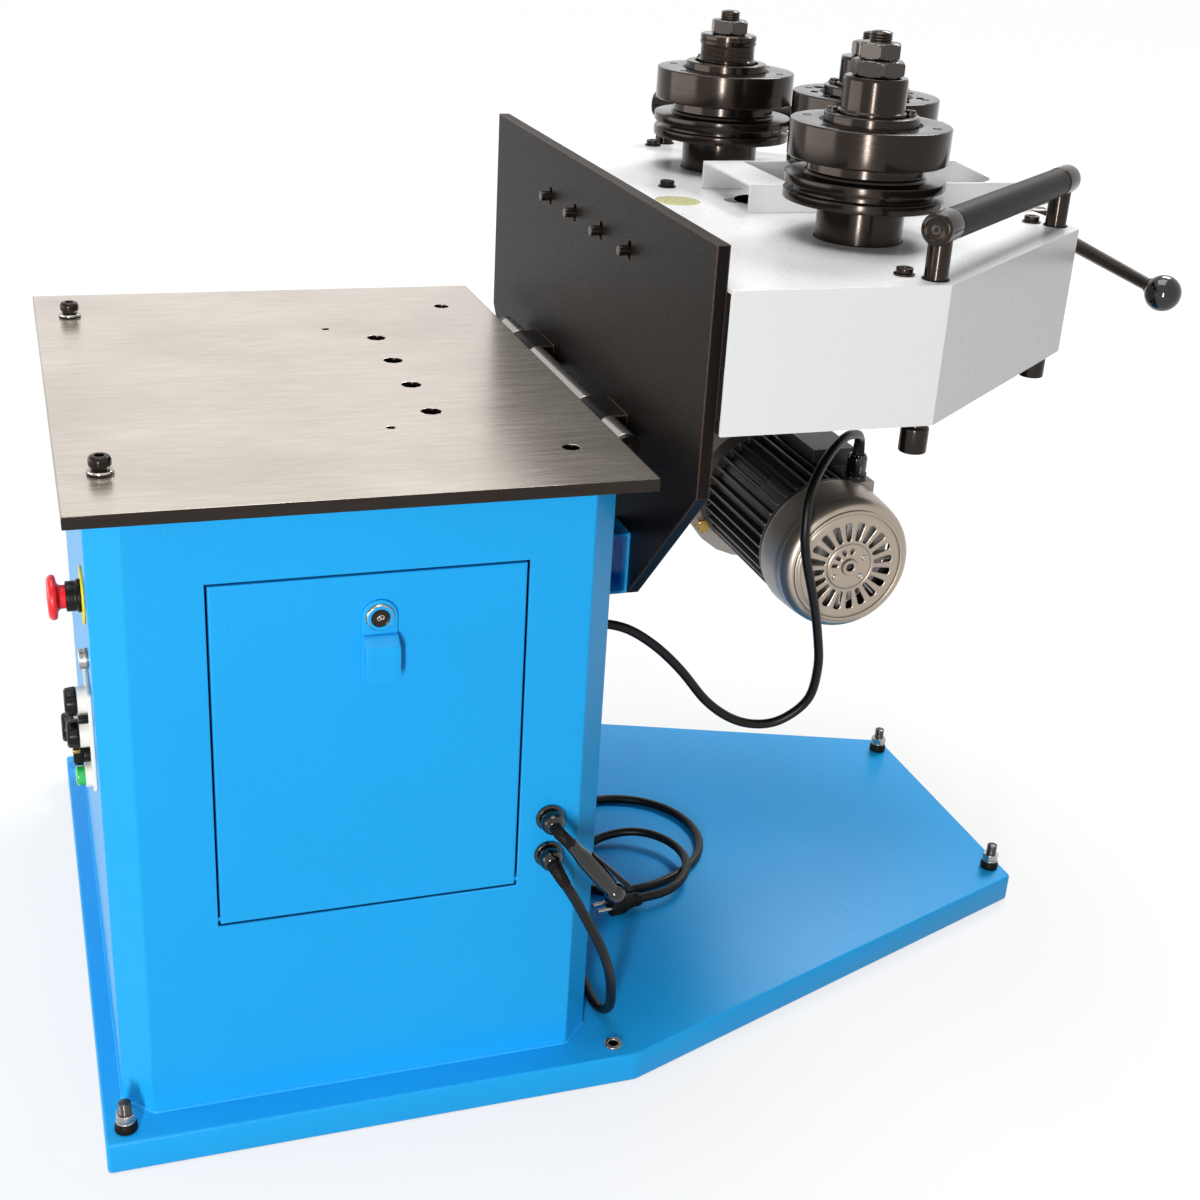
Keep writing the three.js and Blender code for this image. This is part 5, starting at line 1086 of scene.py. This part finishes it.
def slotted_disc(name, radii, depth, count, middle, bands, kept=99):
    """Rings of radii times count periods of five columns: slot edge, slot middle, slot edge, and
    two on the bar. A band (low, high, share) is a row of slots whose half angle is share / 2 of a
    period and shrinks as a half ellipse near both ends. Faces between slot edges inside a band are
    dropped, in the first kept periods."""
    r = np.asarray(radii, float)
    half = np.full(len(r), 0.1)
    for low, high, share in bands:
        end = min(2.4, (high - low) / 2)
        near = np.clip((end - np.minimum(r - low, high - r)) / end, 0, 1)
        inside = (r >= low) & (r <= high)
        half = np.where(inside, share / 2 * np.sqrt(1 - 0.9 * near ** 2), half)
    step = 1 - 2 * half
    columns = np.stack([-half, 0 * half, half, half + step / 3, half + 2 * step / 3], axis=1)
    part = (columns[:, None, :] + np.arange(count)[None, :, None]).reshape(len(r), -1)
    a = radians(middle) + 2 * pi * part / count
    y = np.interp(r, *np.array(depth, float).T)
    grid = np.stack([MOTOR[0] + r[:, None] * np.cos(a), y[:, None] + 0 * a,
                     MOTOR[1] + r[:, None] * np.sin(a)], axis=-1)
    faces = np.array(grid_faces(len(r), 5 * count)).reshape(len(r) - 1, 5 * count, 4)
    centre = (r[1:] + r[:-1])[:, None] / 2
    in_band = sum(((centre > low) & (centre < high)) for low, high, _ in bands) > 0
    cell = np.arange(5 * count)[None, :]
    gone = in_band & (cell % 5 < 2) & (cell < 5 * kept)
    return sheet(name, grid, faces[~gone].tolist(), 1.6)


dress(fan_bell(), "head", "fan_metal", "fan_cover")
outer_rings = [26.6, 28.6, 29.8, 30.3, 31.1, 32.2, 36, 41, 46, 49.1, 50.2, 51, 51.5, 53, 57, 62.6]
flat = [[26, -155.2], [63, -155.2]]
dress(slotted_disc("fan_grille", outer_rings, flat, 20, 97.0, [(29.8, 51.5, 0.52)]), "head",
      "fan_metal")
inner_rings = [4.6, 5.6, 8.2, 8.9, 9.6, 11, 13.8, 14.3, 15.2, 17.2, 19.4, 20.4, 21, 23, 26.6]
boss = [[4, -157.4], [5.6, -158.6], [8.2, -158.6], [8.9, -157.6], [9.6, -155.6], [11, -155.2],
        [27, -155.2]]
dress(slotted_disc("grille_middle", inner_rings, boss, 12, 83.7, [(13.8, 21, 0.5)], 4), "head",
      "fan_metal")
# the boss's hole is filled by a black drum: painted shade inside the hole
dress(drum("grille_centre", 5.0, 150, 156.6, motor_at, -Y, 0.2, sides=40), "head", "gloss_black")
for number, degrees in enumerate((27.6, -38.9, -145.1)):
    a = radians(degrees)
    spot = (MOTOR[0] + 19.6 * cos(a), 0, MOTOR[1] + 19.6 * sin(a))
    profile = [[0, 155], [3.4, 155], [3.3, 157], [2.4, 157.8], [1.3, 157.6], [1.2, 156.4],
               [0, 156.4]]
    dress(turned(f"grille_screw_{number}", profile, spot, -Y, 28, 0.3), "head", "bright_steel")

# %% Gearbox and terminal box
BOX_GLAND = (612, -68, 0)
keep("gear_housing", "gearbox", "head", "cast_aluminium", 1.2)
dress(hexagon("drain_plug", 8.8, 92.0, 98.7, (502, 0, 417), Y, 0.3), "head", "brass")
box = keep("junction_box", "terminal_box", "head", "cast_aluminium", 1.2)
two_toned(box, "dark_casting", lambda n, m: m[:, 1] > -36)
dress(hexagon("cable_nut", 11.9, 534.5, 540.6, BOX_GLAND), "head", "black_plastic")
profile = [[0, 540.4], [11.2, 540.4], [11.2, 556.6], [9.4, 560.7], [0, 560.7]]
dress(turned("cable_cap", profile, BOX_GLAND, sides=48, ripple=flutes(16, 0.35)), "head",
      "gloss_black")
print("motor, gearbox and terminal box")

# %% [markdown]
# ## Controls
# Everything on the cabinet's left face points along -X, with its heights counted from that face.
# The knobs have shallow flutes and stand on white bases. The stop has a yellow disc, a black collar
# and a red mushroom on a straight neck.

# %% Stop button and key switch
LEFT = -235.0
stop_at = (LEFT, -240, 537.5)
dress(ring("stop_disc", 13.2, 26.4, 0.2, 2.2, stop_at, -X, 80, 0.5), "base", "yellow_plastic",
      "estop_base")
profile = [[11, 2.2], [15.2, 2.2], [15.2, 5], [14.2, 5.8], [13.7, 7.4], [13.7, 14.4], [13, 15.2],
           [11, 15.2]]
dress(turned("stop_collar", profile, stop_at, -X, 72, 0.5, loop=True), "base", "black_plastic")
mushroom = [[0, 5], [10.6, 5], [10.6, 19.8], [12.6, 22], [18.6, 22.8], [20.3, 24.6], [20.3, 28],
            [17.4, 30.5], [0, 31.3]]
dress(turned("stop_button", mushroom, stop_at, -X, 80, 1.8), "estop", "red_plastic", "estop_button")
key_at = (LEFT, -240, 475)
profile = [[0, 0.3], [9.8, 0.3], [9.8, 3], [9.2, 3.6], [9.2, 7.6], [8.2, 8.4], [5, 8.4], [4.6, 7.4],
           [0, 7.4]]
dress(turned("key_ring", profile, key_at, -X, 56, 0.4), "key", "bright_steel", "key_switch")

# %% Panel, knobs, selector and green button
PANEL = 4.0
outwards = (Y, Z, -X)
dress(slab("panel_plate", box_outline(-262, -178, 347, 448), 0.1, PANEL, 1.2, outwards,
           (LEFT, 0, 0), corner=5.0), "base", "white_plastic", "control_panel")


for node, body, y, z, radius, base in (("knob_1", "knob_one", -240, 433, 13.8, 8.5),
                                       ("knob_2", "knob_two", -240, 399.5, 13.8, 8.5),
                                       ("knob_3", "knob_three", -205, 388.5, 14.5, 12)):
    low = PANEL + base
    dress(drum(f"{node}_base", radius - 0.4, PANEL - 0.2, low, (LEFT, y, z), -X, 1.0, sides=64),
          "base", "white_plastic")
    profile = [[0, low + 0.3], [radius - 0.6, low + 0.3], [radius, low + 1.6],
               [radius - 0.8, low + 9.4], [radius - 2.6, low + 11.2], [0, low + 11.2]]
    dress(turned(f"{node}_cap", profile, (LEFT, y, z), -X, 108, 1.2, ripple=flutes(6, 0.3)), body,
          "black_plastic", node)
dress(drum("lamp_cap", 4.3, PANEL - 0.2, PANEL + 9, (LEFT, -256, 422), -X, 1.4, sides=40), "base",
      "black_plastic")
select_at, green_at = (LEFT, -240, 377), (LEFT, -240, 355)
dress(drum("selector_base", 7.4, PANEL - 0.2, PANEL + 6, select_at, -X, 1.0, sides=48), "selector",
      "black_plastic", "selector")
dress(slab("selector_blade", box_outline(-3, 3, -7.2, 6.4), PANEL + 5.6, PANEL + 15.3, 0.8,
           outwards, select_at, corner=1.5), "selector", "black_plastic")
dress(slab("selector_tip", box_outline(-3.1, 3.1, 2.6, 6.8), PANEL + 8.6, PANEL + 15.5, 0.7,
           outwards, select_at, corner=1.2), "selector", "brass")
dress(ring("green_ring", 9.7, 11.6, PANEL - 0.2, PANEL + 6, green_at, -X, 56), "base",
      "white_plastic")
profile = [[0, 7.6], [9.4, 7.6], [9.4, 16.6], [8, 18.2], [0, 18.6]]
dress(turned("green_cap", profile, green_at, -X, 56, 1.2), "green", "green_plastic", "green_button")
print("controls on the left face")

# %% [markdown]
# ## Glands and coupler
# Both cords leave the front face through a ball that sits in a ring. The upper one carries a short
# rigid coupler with a flat release lever beside it.

# %% Glands
q = np.linspace(0.82, pi - 0.42, 20)
GLAND = np.vstack([[[0, 341.8], [13.4, 341.8], [14, 342.8], [14, 344.6], [12.4, 346], [9, 346.4]],
                   np.column_stack([11.8 * np.sin(q), 353.2 - 11.8 * np.cos(q)]),
                   [[4.4, 364.2], [0, 364.2]]])
for name, z in (("upper", 311), ("lower", 270)):
    dress(turned(f"ball_gland_{name}", GLAND, (177, 0, z), -Y, 64, 0.3), "base", "gloss_black",
          f"gland_{name}")

# %% Coupler
ELBOW = [[177, -360, 311], [177, -367, 311], [179, -373, 309.4], [182.8, -376.8, 306],
         [187.5, -377.2, 301], [193, -377, 294]]
elbow = cord_curve("coupler_neck", relaxed(smooth_line(ELBOW, 1.5)), 6.2)
dress(elbow, "base", "black_rubber")
start, end = np.array([186.0, -377, 303]), np.array([243.0, -377, 230])
reach = np.linalg.norm(end - start)
sleeve = [[0, 2], [6.4, 2], [6.8, 14], [8.8, 27], [9.2, 42], [9.0, 66], [8.0, 74], [8.0, 76],
          [9.6, 78.4], [9.9, 83], [8.8, 88.4], [5.6, 91.6], [0, 92.4]]
dress(turned("coupler_sleeve", sleeve, start, end - start, 56, 1.6), "base", "gloss_black",
      "coupler_body")
along = (end - start) / reach
lift = np.cross(along, -Y)
lift = lift if lift[0] > 0 else -lift
lever_outline = [[29, 8.6], [80, 10.9], [91, 10.9], [92.2, 15], [90, 16.2], [84, 16.2], [29, 10.6]]
dress(slab("coupler_trigger", lever_outline, -3, 3, 0.9, (along, lift, np.cross(along, lift)),
           start, corner=1.4), "coupler_lever", "black_plastic", "coupler_lever")
print("glands and coupler")

# %% [markdown]
# ## What stays as packed
# Gears and the fan are deep inside. Their solids stay, and take their finish.

# %% Finishes for the solids that still show
for name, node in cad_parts.items():
    slot = node.data.materials[0].name.split(".")[0]
    for place in range(len(node.data.materials)):
        node.data.materials[place] = finishes.get(slot, finishes["bright_steel"])
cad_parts["motor_fan"].data.materials[0] = finishes["fan_plastic"]
shown = sorted(name for name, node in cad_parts.items() if not node.hide_render)
print("solids that show:", shown)

# %% [markdown]
# ## Floor and light
# The photograph has a white sweep, a tall narrow light near the camera that draws a bright line
# down every roll, a broad one on the left and one above. A small one high at the back lights the
# tray under the head. The world is even and dim; to the camera and in reflections it is white. The
# floor adds its own white for the same rays only, a little more of it far away where the lamps
# fade, so the object's shadow still shows.


# %% Floor
FLOOR_GREY = (0.26, 0.26, 0.26, 1)
OWN_WHITE, NEAR, FAR = (0.73, 0.95), 0.9, 4.0


def floor():
    """A plane whose own light, for camera and glossy rays, is added to a plain diffuse surface.
    That light grows from the first OWN_WHITE at NEAR metres to the second at FAR."""
    reach = 40 / MM
    corners = [[x, y, 0] for x, y in box_outline(-reach, reach, -reach, reach)]
    made = object_of("floor", corners, [[0, 1, 2, 3]])
    r = Recipe("floor_white")
    r.shade({"Base Color": FLOOR_GREY, "Roughness": 0.9, "Specular IOR Level": 0.0})
    path = r.node("ShaderNodeLightPath").outputs
    seen = any_of(r.tree, path["Is Camera Ray"], path["Is Glossy Ray"])
    away = r.node("ShaderNodeVectorMath", {0: r.place}, operation="LENGTH").outputs["Value"]
    own_white = r.spread(away, *OWN_WHITE, NEAR, FAR)
    own = r.node("ShaderNodeMath", {0: seen, 1: own_white}, operation="MULTIPLY")
    glow = r.node("ShaderNodeEmission", {"Color": (1, 1, 1, 1), "Strength": own.outputs[0]})
    both = r.node("ShaderNodeAddShader", {0: r.shader.outputs[0], 1: glow.outputs[0]})
    feed(r.tree, r.tree.nodes["Material Output"].inputs["Surface"], both.outputs[0])
    made.data.materials.append(r.material)
    made.location.z = -0.0005


floor()

# %% World and lamps
WORLD_LIGHT = 0.16
world = bpy.data.worlds.new("studio")
bpy.context.scene.world = world
world.use_nodes = True
sky = world.node_tree
path = new_node(sky, "ShaderNodeLightPath").outputs
bright = any_of(sky, path["Is Camera Ray"], path["Is Glossy Ray"], path["Is Transmission Ray"])
strength = new_node(sky, "ShaderNodeMapRange", {0: bright, 3: WORLD_LIGHT, 4: 1.0}).outputs[0]
background = sky.nodes["Background"].inputs
feed(sky, background["Strength"], strength)
feed(sky, background["Color"], (1, 1, 1, 1))


def softbox(name, place, target, width, height, share):
    """A lamp that gives a white card at the target this share of full white: a lamp of P watts at a
    distance d gives P / (pi^2 d^2)."""
    data = bpy.data.lights.new(name, "AREA")
    way = Vector(target) - Vector(place)
    data.shape, data.size, data.size_y = "RECTANGLE", width, height
    data.energy = share * (pi * way.length) ** 2
    lamp = linked(name, data)
    aim = way.to_track_quat("-Z", "Y").to_matrix().to_4x4()
    lamp.matrix_world = Matrix.Translation(place) @ aim
    lamp.visible_camera = False


softbox("key", (-1.45, -3.75, 0.86), (0.1, -0.2, 0.86), 0.32, 1.66, 0.8)
softbox("side", (-3.9, 0.7, 0.8), (0.0, -0.1, 0.75), 4.4, 1.6, 0.5)
softbox("top", (0.0, 0.1, 4.2), (0.1, 0, 0.6), 2.6, 2.6, 0.78)
softbox("back", (2.6, 1.8, 3.6), (0.5, 0, 0.1), 1.6, 1.2, 0.5)

# %% Settings and the end
bpy.context.scene.view_settings.view_transform = "Standard"
print(len(pieces), "pieces")
